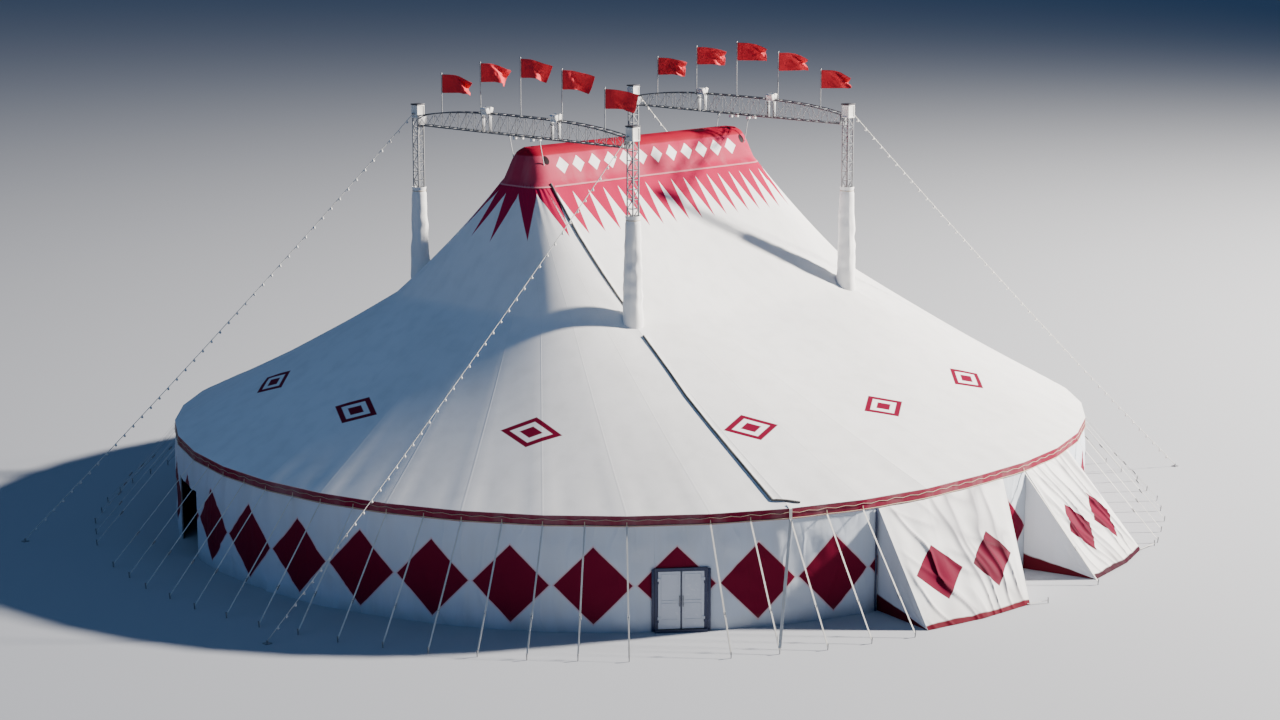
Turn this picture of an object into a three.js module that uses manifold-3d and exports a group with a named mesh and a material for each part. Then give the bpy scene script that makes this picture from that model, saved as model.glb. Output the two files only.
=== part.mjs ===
// Circus big top tent, scale model at 1:2, millimetres, +Z up.
// The origin lies on the ground in the middle of the oval plan. +X runs along the
// longer axis, through both lattice gantries, and the door is at the front, on -Y.
import * as THREE from 'three';
import { mergeVertices } from 'three/addons/utils/BufferGeometryUtils.js';
import Module from 'manifold-3d';

const wasm = await Module();
wasm.setup();

// Driving dimensions, real metres times m
const m = 500;
const gap = 0.3;
const eaveRadius = 18 * m;
const halfStraight = 1 * m;
const eaveTop = 4.2 * m;
const bandBottom = 3.8 * m;
const stations = 40;
const mastOffset = 6.2 * m;
const mastTop = 16.7 * m;
const mastRingHeight = 9.2 * m;
const cupolaHeight = 14.1 * m;
const stakeRadius = eaveRadius + 3.3 * m;
const sheet = 6;
const bandThick = 10;
const wallThick = 10;

// Oval rings that the canopy passes through, half lengths and corner forms
const cupolaRing = { halfX: 6.5 * m, halfY: 1.15 * m, corner: 0.75 * m };
const mastRing = { halfX: 9.6 * m, halfY: 6.6 * m, power: 3.64 };
const mastRingTilt = 0.3 * m;
const innerSag = 0.15;
const outerSag = 0.08;

// Stations of the four long seams; each runs past one mast down to the eave
const seams = [-3, 4, 17, 24];
const seamGap = 0.0004;

// Doorway, entrance and porches, in stations round the eave
const doorStation = -4.35;
const entrance = { from: 27, to: 28, height: 2.6 * m };
const porchOne = { top: [-1.75, 0.55], foot: [-1.75, -0.18], tie: [-0.23, 0], depth: 2.95 * m };
const porchTwo = { top: [1.08, 2.54], foot: [1.17, 2.63], tie: [2.58, 2.85], depth: 2.95 * m };

const paint = (color, roughness, metalness = 0) =>
  new THREE.MeshStandardMaterial({ color, roughness, metalness });
const white = paint(0xe9e7e3, 0.55);
const red = paint(0x8c1230, 0.55);
const flagRed = paint(0xc4122c, 0.7);
const steel = paint(0x9a9c9c, 0.4, 0.9);
const navy = paint(0x20253c, 0.5);
const leafWhite = paint(0xd9dce2, 0.5);
const webbing = paint(0xe4e2d6, 0.8);

const tent = new THREE.Group();

function add(name, geometry, material, parent = tent) {
  const mesh = new THREE.Mesh(geometry, material);
  mesh.name = name;
  parent.add(mesh);
  return mesh;
}

// Solids
function asSolid(source) {
  let geometry = source.clone();
  geometry.deleteAttribute('normal');
  geometry.deleteAttribute('uv');
  geometry = mergeVertices(geometry, 1e-4);
  return new wasm.Manifold(new wasm.Mesh({
    numProp: 3,
    vertProperties: new Float32Array(geometry.attributes.position.array),
    triVerts: new Uint32Array(geometry.index.array),
  }));
}

function asGeometry(solid) {
  const mesh = solid.getMesh();
  const geometry = new THREE.BufferGeometry();
  geometry.setAttribute('position', new THREE.BufferAttribute(mesh.vertProperties, 3));
  geometry.setIndex(new THREE.BufferAttribute(mesh.triVerts, 1));
  geometry.computeVertexNormals();
  return geometry;
}

function union(geometries) {
  return asGeometry(geometries.map(asSolid).reduce((whole, part) => whole.add(part)));
}

function cut(geometry, tools) {
  return asGeometry(tools.map(asSolid).reduce((whole, tool) => whole.subtract(tool), asSolid(geometry)));
}

function signedVolume(points, faces) {
  const cross = new THREE.Vector3();
  return faces.reduce((sum, [a, b, c]) =>
    sum + points[a].dot(cross.crossVectors(points[b], points[c])) / 6, 0);
}

// Joins loops of equally many points; an open row of loops is closed by a cap at each end.
// Each four-sided patch is split along its shorter diagonal, so that both skins of a sheet match.
function loft(loops, closed = false) {
  const count = loops[0].length;
  const points = loops.flat();
  const faces = [];
  const rows = closed ? loops.length : loops.length - 1;
  for (let row = 0; row < rows; row++) {
    const here = row * count;
    const next = ((row + 1) % loops.length) * count;
    for (let i = 0; i < count; i++) {
      const j = (i + 1) % count;
      const [a, b, c, d] = [here + i, here + j, next + j, next + i];
      const alongAC = points[a].distanceTo(points[c]) < points[b].distanceTo(points[d]);
      if (alongAC) faces.push([a, b, c], [a, c, d]);
      else faces.push([a, b, d], [b, c, d]);
    }
  }
  if (!closed) {
    const last = (loops.length - 1) * count;
    for (let i = 0; i < Math.floor(count / 2); i++) {
      const opposite = count - 1 - i;
      const corners = [i, i + 1, opposite - 1, opposite];
      const triangles = [[corners[0], corners[2], corners[1]], [corners[0], corners[3], corners[2]]];
      for (const [a, b, c] of triangles) {
        if (a === b || b === c || a === c) continue;
        faces.push([a, b, c], [last + a, last + c, last + b]);
      }
    }
  }
  if (signedVolume(points, faces) < 0) faces.forEach((face) => face.reverse());
  const geometry = new THREE.BufferGeometry().setFromPoints(points);
  geometry.setIndex(faces.flat());
  geometry.computeVertexNormals();
  return geometry;
}

const at = (x, y, z) => new THREE.Vector3(x, y, z);

function bar(from, to, width, depth = width) {
  const length = from.distanceTo(to);
  const geometry = new THREE.BoxGeometry(width, length, depth);
  const along = to.clone().sub(from).normalize();
  const turn = new THREE.Quaternion().setFromUnitVectors(at(0, 1, 0), along);
  geometry.applyQuaternion(turn);
  geometry.translate((from.x + to.x) / 2, (from.y + to.y) / 2, (from.z + to.z) / 2);
  return geometry;
}

function box(x, y, z, sizeX, sizeY, sizeZ) {
  return new THREE.BoxGeometry(sizeX, sizeY, sizeZ).translate(x, y, z + sizeZ / 2);
}

function post(x, y, bottom, top, radius, sides) {
  const geometry = new THREE.CylinderGeometry(radius, radius, top - bottom, sides);
  return geometry.rotateX(Math.PI / 2).translate(x, y, (top + bottom) / 2);
}

// Points round the oval plan: a station is one bay between two side poles
const perimeter = 2 * Math.PI * eaveRadius + 4 * halfStraight;
const bay = perimeter / stations;

function ovalPoint(station, radius, z = 0) {
  const quarter = stations / 4;
  const turns = Math.round(station / (2 * quarter));
  const along = (station - turns * 2 * quarter) * bay;
  const side = turns % 2 === 0 ? 1 : -1;
  const beyond = Math.max(Math.abs(along) - halfStraight, 0) * Math.sign(along);
  const angle = beyond / eaveRadius;
  const x = (along - beyond) + radius * Math.sin(angle);
  return at(side * x, -side * radius * Math.cos(angle), z);
}

// Straight between two stations, as the cloth runs between its poles
function eavePoint(station, radius, z = 0) {
  const first = Math.floor(station);
  const start = ovalPoint(first, radius, z);
  return start.lerp(ovalPoint(first + 1, radius, z), station - first);
}

function stationsBetween(from, to) {
  const list = [from];
  for (let station = Math.floor(from) + 1; station < to; station++) list.push(station);
  return [...list, to];
}

// Wall, band or rail: a flat strip that follows the eave
function ringStrip(from, to, outer, inner, bottom, top) {
  return loft(stationsBetween(from, to).map((station) => [
    eavePoint(station, outer, bottom), eavePoint(station, outer, top),
    eavePoint(station, inner, top), eavePoint(station, inner, bottom)]));
}

// Closed outlines of the cupola ring and the mast ring, and points along them
function roundedRectangle({ halfX, halfY, corner }) {
  const shape = new THREE.Shape();
  shape.moveTo(0, -halfY);
  shape.lineTo(halfX - corner, -halfY);
  shape.absarc(halfX - corner, corner - halfY, corner, -Math.PI / 2, 0);
  shape.absarc(halfX - corner, halfY - corner, corner, 0, Math.PI / 2);
  shape.absarc(corner - halfX, halfY - corner, corner, Math.PI / 2, Math.PI);
  shape.absarc(corner - halfX, corner - halfY, corner, Math.PI, 1.5 * Math.PI);
  shape.closePath();
  return shape.getPoints(24);
}

function superEllipse({ halfX, halfY, power }) {
  const bend = (value) => Math.sign(value) * Math.abs(value) ** (2 / power);
  return Array.from({ length: 361 }, (_, i) => {
    const angle = -Math.PI / 2 + (i / 360) * 2 * Math.PI;
    return new THREE.Vector2(halfX * bend(Math.cos(angle)), halfY * bend(Math.sin(angle)));
  });
}

function measured(outline) {
  const lengths = [0];
  for (let i = 1; i < outline.length; i++) {
    lengths.push(lengths[i - 1] + outline[i].distanceTo(outline[i - 1]));
  }
  return { outline, lengths, total: lengths[lengths.length - 1] };
}

function pointAtLength({ outline, lengths, total }, length) {
  const wanted = ((length % total) + total) % total;
  let i = 1;
  while (i < lengths.length - 1 && lengths[i] < wanted) i++;
  const part = (wanted - lengths[i - 1]) / (lengths[i] - lengths[i - 1] || 1);
  return outline[i - 1].clone().lerp(outline[i], part);
}

// The ring's length at each seam fixes where the stations between two seams fall
function ringPoint(ring, anchors, station) {
  const lap = Math.floor((station - seams[0]) / stations);
  const inLap = station - lap * stations;
  const starts = [...seams, seams[0] + stations];
  const lengths = [...anchors, anchors[0] + ring.total];
  let i = 0;
  while (i < 3 && inLap > starts[i + 1]) i++;
  const part = (inLap - starts[i]) / (starts[i + 1] - starts[i]);
  return pointAtLength(ring, lengths[i] + part * (lengths[i + 1] - lengths[i]));
}

const cupolaOutline = measured(roundedRectangle(cupolaRing));
const mastOutline = measured(superEllipse(mastRing));
const seamAtCupola = { left: -6.05 * m, right: 6.05 * m };
const halfCupola = cupolaOutline.total / 2;
const cupolaAnchors = [seamAtCupola.left, seamAtCupola.right,
  halfCupola + seamAtCupola.left, halfCupola + seamAtCupola.right];

function lengthNear({ outline, lengths }, x, y) {
  let best = 0;
  const distance = (i) => Math.hypot(outline[i].x - x, outline[i].y - y);
  for (let i = 1; i < outline.length; i++) {
    if (distance(i) < distance(best)) best = i;
  }
  return lengths[best];
}

const halfMast = mastOutline.total / 2;
const firstMast = lengthNear(mastOutline, mastOffset, -mastOffset);
const mastAnchors = [-firstMast, firstMast, halfMast - firstMast, halfMast + firstMast];

// Canopy surface: from the cupola ring (0) over the mast ring (1) to the eave (2)
function canopyPoint(station, run) {
  const high = ringPoint(cupolaOutline, cupolaAnchors, station);
  const middle = ringPoint(mastOutline, mastAnchors, station);
  const low = eavePoint(station, eaveRadius);
  const direction = Math.atan2(middle.y, middle.x);
  const middleZ = mastRingHeight + mastRingTilt * Math.cos(2 * direction);
  const part = run < 1 ? run : run - 1;
  const [a, b, topZ, lowZ, sag] = run < 1
    ? [high, middle, cupolaHeight, middleZ, innerSag]
    : [middle, low, middleZ, eaveTop, outerSag];
  const fall = part + sag * part * (1 - part);
  return at(a.x + (b.x - a.x) * part, a.y + (b.y - a.y) * part, topZ + (lowZ - topZ) * fall);
}

const canopyRuns = Array.from({ length: 7 }, (_, i) => i / 3);

function canopySection(from, to) {
  return loft(stationsBetween(from + seamGap, to - seamGap).map((station) => {
    const upper = canopyRuns.map((run) => canopyPoint(station, run));
    const lower = upper.map((point) => at(point.x, point.y, point.z - sheet)).reverse();
    return [...upper, ...lower];
  }));
}

// Sleeves round the masts where they pass through the canopy
const sleeve = { bottom: 8.5 * m, top: 13.5 * m, foot: 0.42 * m, head: 0.29 * m, thick: 0.024 * m };
const sleeveSides = 12;

function sleeveProfile(swell) {
  return [new THREE.Vector2(sleeve.foot + swell, sleeve.bottom),
    new THREE.Vector2(sleeve.head + swell, sleeve.top)];
}

function turned(profile, x, y) {
  const geometry = new THREE.LatheGeometry(profile, sleeveSides, Math.PI / 12);
  return geometry.rotateX(Math.PI / 2).translate(x, y, 0);
}

function sleeveGeometry(x, y) {
  const outer = sleeveProfile(0);
  const inner = sleeveProfile(-sleeve.thick).reverse();
  return turned([...outer, ...inner, outer[0]], x, y);
}

function sleeveCutter(x, y) {
  const [low, high] = sleeveProfile(gap);
  return turned([new THREE.Vector2(0, low.y), low, high, new THREE.Vector2(0, high.y)], x, y);
}

const mastPlaces = [
  { name: 'front_left', x: -mastOffset, y: -mastOffset },
  { name: 'front_right', x: mastOffset, y: -mastOffset },
  { name: 'back_right', x: mastOffset, y: mastOffset },
  { name: 'back_left', x: -mastOffset, y: mastOffset },
];

// Lattice masts with a base plate and a closed head
const mast = {
  side: 0.36 * m, leg: 0.06 * m, rung: 0.04 * m, bays: 7, plate: 0.9 * m, plateThick: 0.05 * m,
};
const head = { side: 0.46 * m, bottom: 15.7 * m };

function mastGeometry({ x, y }) {
  const half = (mast.side - mast.leg) / 2;
  const pieces = [box(x, y, 0, mast.plate, mast.plate, mast.plateThick)];
  const corners = [[-1, -1], [1, -1], [1, 1], [-1, 1]];
  for (const [i, j] of corners) {
    pieces.push(box(x + i * half, y + j * half, mast.plateThick / 2, mast.leg, mast.leg, head.bottom));
  }
  for (let level = 1; level < mast.bays; level++) {
    const z = (head.bottom * level) / mast.bays;
    for (let side = 0; side < 4; side++) {
      const [i, j] = corners[side];
      const [k, l] = corners[(side + 1) % 4];
      pieces.push(bar(at(x + i * half, y + j * half, z), at(x + k * half, y + l * half, z), mast.rung));
    }
  }
  pieces.push(box(x, y, head.bottom, head.side, head.side, mastTop - head.bottom));
  return union(pieces);
}

// Gantry trusses between two mast heads, with a floodlight at each third and the flag poles
const truss = {
  halfWidth: 0.18 * m, chord: 0.05 * m, rung: 0.04 * m, bottom: 15.85 * m, plate: 0.02 * m,
  frames: [0, 1.2, 2.35, 3.5, 4.7].map((metres) => metres * m),
};
const trussEnd = mastOffset - head.side / 2 - gap;
const flag = {
  length: 1.3 * m, height: 0.75 * m, thick: 4, wave: 0.07 * m, waveTurn: 7, droop: 0.12 * m, steps: 8,
};
const flagPlaces = [-4.7, -2.35, 0, 2.35, 4.7].map((metres) => metres * m);
const poleRadius = 0.022 * m;
const poleHeight = (y) => (2.3 - 0.7 * (Math.abs(y) / flagPlaces[4]) ** 1.3) * m;
const trussDepth = (y) => (0.76 - 0.38 * (Math.abs(y) / trussEnd) ** 3) * m;

function trussChord(x, places, heightAt) {
  const half = truss.chord / 2;
  const corners = [[-half, -half], [half, -half], [half, half], [-half, half]];
  return loft(places.map((y) => corners.map(([i, k]) => at(x + i, y, heightAt(y) + k))));
}

function trussGeometry(x) {
  const sides = [x - truss.halfWidth, x + truss.halfWidth];
  const inside = trussEnd - truss.plate / 2;
  const frames = [-inside, ...truss.frames.slice(1).reverse().map((y) => -y), ...truss.frames, inside];
  const pieces = [];
  for (const side of sides) {
    pieces.push(trussChord(side, [-inside, inside], () => truss.bottom));
    pieces.push(trussChord(side, frames, (y) => truss.bottom + trussDepth(y)));
  }
  for (const y of frames.slice(1, -1)) {
    const top = truss.bottom + trussDepth(y);
    for (const side of sides) pieces.push(bar(at(side, y, truss.bottom), at(side, y, top), truss.rung));
    pieces.push(bar(at(sides[0], y, truss.bottom), at(sides[1], y, truss.bottom), truss.rung));
    pieces.push(bar(at(sides[0], y, top), at(sides[1], y, top), truss.rung));
  }
  const plateWidth = 2 * (truss.halfWidth + truss.chord);
  const plateHeight = trussDepth(trussEnd) + 2 * truss.chord;
  for (const end of [-inside, inside]) {
    pieces.push(box(x, end, truss.bottom - truss.chord, plateWidth, truss.plate, plateHeight));
  }
  for (const y of flagPlaces) {
    const foot = truss.bottom + trussDepth(y);
    pieces.push(post(x, y, foot, foot + poleHeight(y), poleRadius, 6));
  }
  return union(pieces);
}

// Flags stream along +X and -Y from their poles
function flagGeometry(x, y) {
  const top = truss.bottom + trussDepth(y) + poleHeight(y);
  const along = at(Math.SQRT1_2, -Math.SQRT1_2, 0);
  const across = at(Math.SQRT1_2, Math.SQRT1_2, 0);
  const start = poleRadius + gap;
  return loft(Array.from({ length: flag.steps + 1 }, (_, i) => {
    const run = i / flag.steps;
    const swing = flag.wave * run * Math.sin(run * flag.waveTurn + y);
    const droop = flag.droop * run * run;
    const centre = at(x, y, 0)
      .addScaledVector(along, start + flag.length * run)
      .addScaledVector(across, swing);
    const low = top - flag.height - droop;
    return [-1, 1].flatMap((side) => {
      const edge = centre.clone().addScaledVector(across, (side * flag.thick) / 2);
      const pair = [at(edge.x, edge.y, low), at(edge.x, edge.y, top - droop)];
      return side < 0 ? pair : pair.reverse();
    });
  }));
}

// Cupola: a hung frame that carries the canopy's top edge, and the cap over it
const cupolaFrame = {
  width: 0.15 * m, height: 0.1 * m, cross: 0.08 * m, cable: 0.024 * m, clamp: 0.08 * m, hole: 0.1 * m,
};
const liftFoot = { x: 5.62 * m, y: 0.86 * m };
const capLevels = [
  { z: 0, halfX: 6.5, halfY: 1.15, corner: 0.75 },
  { z: 0.8, halfX: 6.3, halfY: 0.82, corner: 0.62 },
  { z: 1.1, halfX: 6.15, halfY: 0.62, corner: 0.5 },
  { z: 1.25, halfX: 5.9, halfY: 0.36, corner: 0.3 },
].map(({ z, halfX, halfY, corner }) =>
  ({ z: z * m, halfX: halfX * m, halfY: halfY * m, corner: corner * m }));
const capThick = 0.024 * m;

function insetLoop(points, inset) {
  const count = points.length;
  return points.map((point, i) => {
    const before = points[(i + count - 1) % count];
    const after = points[(i + 1) % count];
    const first = at(point.x - before.x, point.y - before.y, 0).normalize();
    const second = at(after.x - point.x, after.y - point.y, 0).normalize();
    const inward = at(-(first.y + second.y), first.x + second.x, 0).normalize();
    const stretch = 1 / inward.dot(at(-first.y, first.x, 0));
    return point.clone().addScaledVector(inward, inset * stretch);
  });
}

function loopOnRing(form, z) {
  const ring = measured(roundedRectangle(form));
  const share = ring.total / cupolaOutline.total;
  const anchors = cupolaAnchors.map((length) => length * share);
  return Array.from({ length: stations }, (_, i) => {
    const point = ringPoint(ring, anchors, i);
    return at(point.x, point.y, z);
  });
}

const cupolaEdge = loopOnRing(cupolaRing, cupolaHeight);
const raised = (loop, z) => loop.map((point) => at(point.x, point.y, z));

const liftCables = [[-1, -1], [1, -1], [1, 1], [-1, 1]].map(([i, j]) => ({
  foot: at(i * liftFoot.x, j * liftFoot.y, cupolaHeight - cupolaFrame.height / 2),
  top: at(i * (mastOffset - truss.halfWidth), j * liftFoot.y, truss.bottom - truss.chord / 2 - gap),
}));

function cupolaFrameGeometry() {
  const outer = insetLoop(cupolaEdge, gap);
  const inner = insetLoop(cupolaEdge, cupolaFrame.width);
  const low = cupolaHeight - cupolaFrame.height;
  const loops = outer.map((point, i) => [
    at(point.x, point.y, low), at(point.x, point.y, cupolaHeight),
    at(inner[i].x, inner[i].y, cupolaHeight), at(inner[i].x, inner[i].y, low)]);
  const pieces = [loft(loops, true)];
  const reach = cupolaRing.halfY - cupolaFrame.width / 2;
  const middle = cupolaHeight - cupolaFrame.height / 2;
  for (const x of [-liftFoot.x, -2.8 * m, 0, 2.8 * m, liftFoot.x]) {
    pieces.push(bar(at(x, -reach, middle), at(x, reach, middle), cupolaFrame.cross));
  }
  for (const { foot, top } of liftCables) {
    const clampFoot = top.z - cupolaFrame.clamp;
    pieces.push(bar(foot, at(top.x, top.y, clampFoot + cupolaFrame.clamp / 2), cupolaFrame.cable));
    pieces.push(box(top.x, top.y, clampFoot, cupolaFrame.clamp, cupolaFrame.clamp, cupolaFrame.clamp));
  }
  return union(pieces);
}

function capGeometry() {
  const base = cupolaHeight + gap;
  const outer = capLevels.map((level) => loopOnRing(level, base + level.z));
  const inner = outer.map((loop, i) =>
    raised(insetLoop(loop, capThick), i === 0 ? base : loop[0].z - capThick));
  const skin = (loops) => {
    const rim = loops[loops.length - 1];
    const centre = rim.reduce((sum, point) => sum.add(point), at(0, 0, 0)).divideScalar(stations);
    return { loops, centre };
  };
  return shellGeometry(skin(outer), skin(inner));
}

// A cap with an outer and an inner skin, joined along the rim and closed on top
function shellGeometry(outer, inner) {
  const points = [];
  const faces = [];
  for (const [skin, flip] of [[outer, false], [inner, true]]) {
    const start = points.length;
    points.push(...skin.loops.flat(), skin.centre);
    const centre = points.length - 1;
    const side = (a, b, c) => faces.push(flip ? [a, c, b] : [a, b, c]);
    for (let row = 0; row < skin.loops.length; row++) {
      for (let i = 0; i < stations; i++) {
        const here = start + row * stations;
        const j = (i + 1) % stations;
        if (row === skin.loops.length - 1) {
          side(here + i, here + j, centre);
        } else {
          side(here + i, here + j, here + stations + j);
          side(here + i, here + stations + j, here + stations + i);
        }
      }
    }
    skin.start = start;
  }
  for (let i = 0; i < stations; i++) {
    const j = (i + 1) % stations;
    faces.push([outer.start + j, outer.start + i, inner.start + i]);
    faces.push([outer.start + j, inner.start + i, inner.start + j]);
  }
  const geometry = new THREE.BufferGeometry().setFromPoints(points);
  geometry.setIndex(faces.flat());
  return geometry;
}

function cupolaCapGeometry() {
  const holes = liftCables.map(({ foot, top }) => bar(foot, top, cupolaFrame.hole));
  return cut(capGeometry(), holes);
}

// Radii of the layers at the eave, from outside to inside
const bandInner = eaveRadius - bandThick;
const wallOuter = bandInner - gap;
const wallInner = wallOuter - wallThick;
const railOuter = wallInner - gap;
const pole = { radius: 0.025 * m, rail: 0.05 * m, sides: 6 };
const clothTop = eaveTop - sheet - gap;

function wallSection(from, to, bottom = 0) {
  return ringStrip(from + seamGap, to - seamGap, wallOuter, wallInner, bottom, clothTop);
}

function sidePoles(from, to) {
  const railTop = clothTop - gap;
  const railInner = railOuter - pole.rail;
  const pieces = [
    ringStrip(from + seamGap, to - seamGap, railOuter, railInner, railTop - pole.rail, railTop)];
  for (let station = Math.ceil(from); station < to; station++) {
    const centre = ovalPoint(station, railOuter - pole.rail / 2);
    pieces.push(post(centre.x, centre.y, 0, railTop, pole.radius, pole.sides));
  }
  return union(pieces);
}

// Webbing guys from a rope along the band down to stakes, two to a bay
const guy = {
  rope: 0.032 * m, strap: 0.036 * m, stake: 0.06 * m, stakeHeight: 0.22 * m, tieHeight: 0.13 * m,
  height: 3.86 * m, spacing: 0.5,
};
const spansWithoutGuys = [
  [doorStation - 0.35, doorStation + 0.35], [entrance.from, entrance.to], porchOne.top, porchTwo.top];

function guys(from, to) {
  const inner = eaveRadius + gap;
  const pieces = [
    ringStrip(from + seamGap, to - seamGap, inner + guy.rope, inner, guy.height - guy.rope, guy.height)];
  const first = Math.ceil(from / guy.spacing) * guy.spacing;
  for (let station = first; station < to; station += guy.spacing) {
    if (spansWithoutGuys.some(([low, high]) => station > low && station < high)) continue;
    const start = eavePoint(station, inner + guy.strap, guy.height - guy.rope / 2);
    const end = eavePoint(station, stakeRadius, guy.tieHeight);
    pieces.push(bar(start, end, guy.strap));
    pieces.push(box(end.x, end.y, 0, guy.stake, guy.stake, guy.stakeHeight));
  }
  return union(pieces);
}

// Main stays from the mast heads over the canopy to ground anchors
const stay = {
  radius: 0.014 * m, sides: 6, steps: 12, sag: 0.22 * m, anchor: 0.24 * m, anchorHeight: 0.12 * m,
  topHeight: 16.3 * m, footHeight: 0.084 * m, lug: 0.08 * m,
};
const stayAnchors = {
  front_left: at(-23 * m, -5.2 * m, 0),
  back_left: at(-21.5 * m, 12.5 * m, 0),
  back_right: at(23 * m, 5.2 * m, 0),
  front_right: at(21.5 * m, -12.5 * m, 0),
};

function stayGeometry({ name, x, y }) {
  const anchor = stayAnchors[name];
  const outward = at(anchor.x - x, anchor.y - y, 0).normalize();
  const faceX = x + Math.sign(outward.x) * (head.side / 2 + gap + stay.lug / 2);
  const start = at(faceX, y, stay.topHeight);
  const end = at(anchor.x, anchor.y, stay.footHeight);
  const across = at(-outward.y, outward.x, 0);
  const loops = Array.from({ length: stay.steps + 1 }, (_, i) => {
    const part = i / stay.steps;
    const centre = start.clone().lerp(end, part);
    centre.z -= stay.sag * 4 * part * (1 - part);
    const up = end.clone().sub(start).normalize().cross(across).negate();
    return Array.from({ length: stay.sides }, (_, k) => {
      const angle = ((k + 0.5) / stay.sides) * 2 * Math.PI;
      return centre.clone().addScaledVector(across, stay.radius * Math.cos(angle))
        .addScaledVector(up, stay.radius * Math.sin(angle));
    });
  });
  return union([
    loft(loops),
    box(start.x, start.y, start.z - stay.lug / 2, stay.lug, stay.lug, stay.lug),
    box(anchor.x, anchor.y, 0, stay.anchor, stay.anchor, stay.anchorHeight),
  ]);
}

// Porches: a stretch of wall cloth drawn out to the ground, open to the inside
const porchSheet = 12;
const porchTop = bandBottom - gap;
const porchSteps = 6;
const cutterReach = 40;
const porchTieHeights = [0.025 * m, 0.055 * m];

function porchWedge({ top, foot, depth }, narrow, drop, reach) {
  const slope = porchTop / depth;
  const inner = wallOuter + gap - reach;
  return loft(Array.from({ length: porchSteps + 1 }, (_, i) => {
    const part = i / porchSteps;
    const stationTop = top[0] + narrow + (top[1] - top[0] - 2 * narrow) * part;
    const stationFoot = foot[0] + narrow + (foot[1] - foot[0] - 2 * narrow) * part;
    const back = eavePoint(stationTop, inner);
    const outer = eaveRadius + depth + (reach - drop) / slope;
    const front = eavePoint(stationFoot, outer);
    return [at(back.x, back.y, porchTop + reach * slope - drop), at(back.x, back.y, -reach),
      at(front.x, front.y, -reach)];
  }));
}

function porchGeometry(porch) {
  const drop = porchSheet * Math.hypot(1, porchTop / porch.depth);
  const outside = porchWedge(porch, 0, 0, 0);
  const inside = porchWedge(porch, porchSheet / bay, drop, cutterReach);
  const shell = cut(outside, [inside]);
  const [footStation, stakeStation] = porch.tie;
  const corner = eavePoint(footStation, eaveRadius + porch.depth - porchSheet / 2, porchTieHeights[0]);
  const end = ovalPoint(stakeStation, stakeRadius, porchTieHeights[1]);
  const stake = box(end.x, end.y, 0, guy.stake, guy.stake, guy.stakeHeight);
  return union([shell, bar(corner, end, guy.strap), stake]);
}

// Double door in its frame, in the flat bay between two side poles
const door = {
  width: 1.86 * m, height: 2.3 * m, jamb: 0.11 * m, depth: 0.16 * m, sill: 0.1 * m, sillDepth: 0.4 * m,
  leafThick: 0.04 * m, clearance: 6, barrel: 0.022 * m, barrelHeight: 0.1 * m,
};
const doorFrom = eavePoint(Math.floor(doorStation), wallOuter);
const doorTo = eavePoint(Math.ceil(doorStation), wallOuter);
const doorway = new THREE.Group();
doorway.position.copy(doorFrom).lerp(doorTo, doorStation - Math.floor(doorStation));
doorway.rotation.z = Math.atan2(doorTo.y - doorFrom.y, doorTo.x - doorFrom.x);
const bayLength = doorFrom.distanceTo(doorTo);
const doorHalf = door.width / 2 / bayLength;

const openingHalf = door.width / 2 - door.jamb;
const openingTop = door.height - door.jamb;
const faceY = -door.depth / 2;
const hinge = {
  x: openingHalf - door.clearance / 2, y: faceY - door.barrel - 1, plate: 0.09 * m, plateThick: 13,
  heights: [0.35 * m, 1.75 * m],
};

// One half of a hinge, on the leaf (inward) or on the frame (outward)
function hingePlate(side, z, outward) {
  const x = side * (hinge.x + (outward * hinge.plate) / 2);
  return box(x, faceY - hinge.plateThick / 2, z, hinge.plate, hinge.plateThick, door.barrelHeight);
}

function doorFrameGeometry() {
  const upright = door.height - door.jamb;
  const pieces = [
    box(0, 0, upright, door.width, door.depth, door.jamb),
    box(0, 0, 0, door.width, door.sillDepth, door.sill),
  ];
  for (const side of [-1, 1]) {
    pieces.push(box(side * (door.width - door.jamb) / 2, 0, 0, door.jamb, door.depth, door.height));
    for (const z of hinge.heights) {
      pieces.push(post(side * hinge.x, hinge.y, z, z + door.barrelHeight, door.barrel, 8));
      pieces.push(hingePlate(side, z, 1));
    }
  }
  return union(pieces);
}

function doorLeafGeometry(side) {
  const bottom = door.sill + door.clearance;
  const top = openingTop - door.clearance;
  const outerEdge = openingHalf - door.clearance;
  const innerEdge = door.clearance / 2;
  const width = outerEdge - innerEdge;
  const y = faceY + door.leafThick / 2;
  const pieces = [box(side * (innerEdge + width / 2), y, bottom, width, door.leafThick, top - bottom)];
  for (const foot of hinge.heights) {
    const z = foot + door.barrelHeight + gap;
    pieces.push(post(side * hinge.x, hinge.y, z, z + door.barrelHeight, door.barrel, 8));
    pieces.push(hingePlate(side, z, -1));
  }
  return union(pieces);
}

// Assembly
for (const place of mastPlaces) {
  add(`mast_${place.name}`, mastGeometry(place), steel);
  add(`mast_sleeve_${place.name}`, sleeveGeometry(place.x, place.y), white);
  add(`main_stay_${place.name}`, stayGeometry(place), webbing);
}

for (const [name, x] of [['left', -mastOffset], ['right', mastOffset]]) {
  add(`gantry_truss_${name}`, trussGeometry(x), steel);
  flagPlaces.forEach((y, i) => add(`flag_${name}_${i + 1}`, flagGeometry(x, y), flagRed));
}

const canopySections = [
  ['front_left', -3, -1], ['front_right', -1, 4], ['right', 4, 17],
  ['back_right', 17, 19], ['back_left', 19, 24], ['left', 24, 37],
];
const sleeveCutters = mastPlaces.map(({ x, y }) => sleeveCutter(x, y));
for (const [name, from, to] of canopySections) {
  add(`canopy_${name}`, cut(canopySection(from, to), sleeveCutters), white);
}

add('cupola_frame', cupolaFrameGeometry(), steel);
add('cupola_cap', cupolaCapGeometry(), red);

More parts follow.
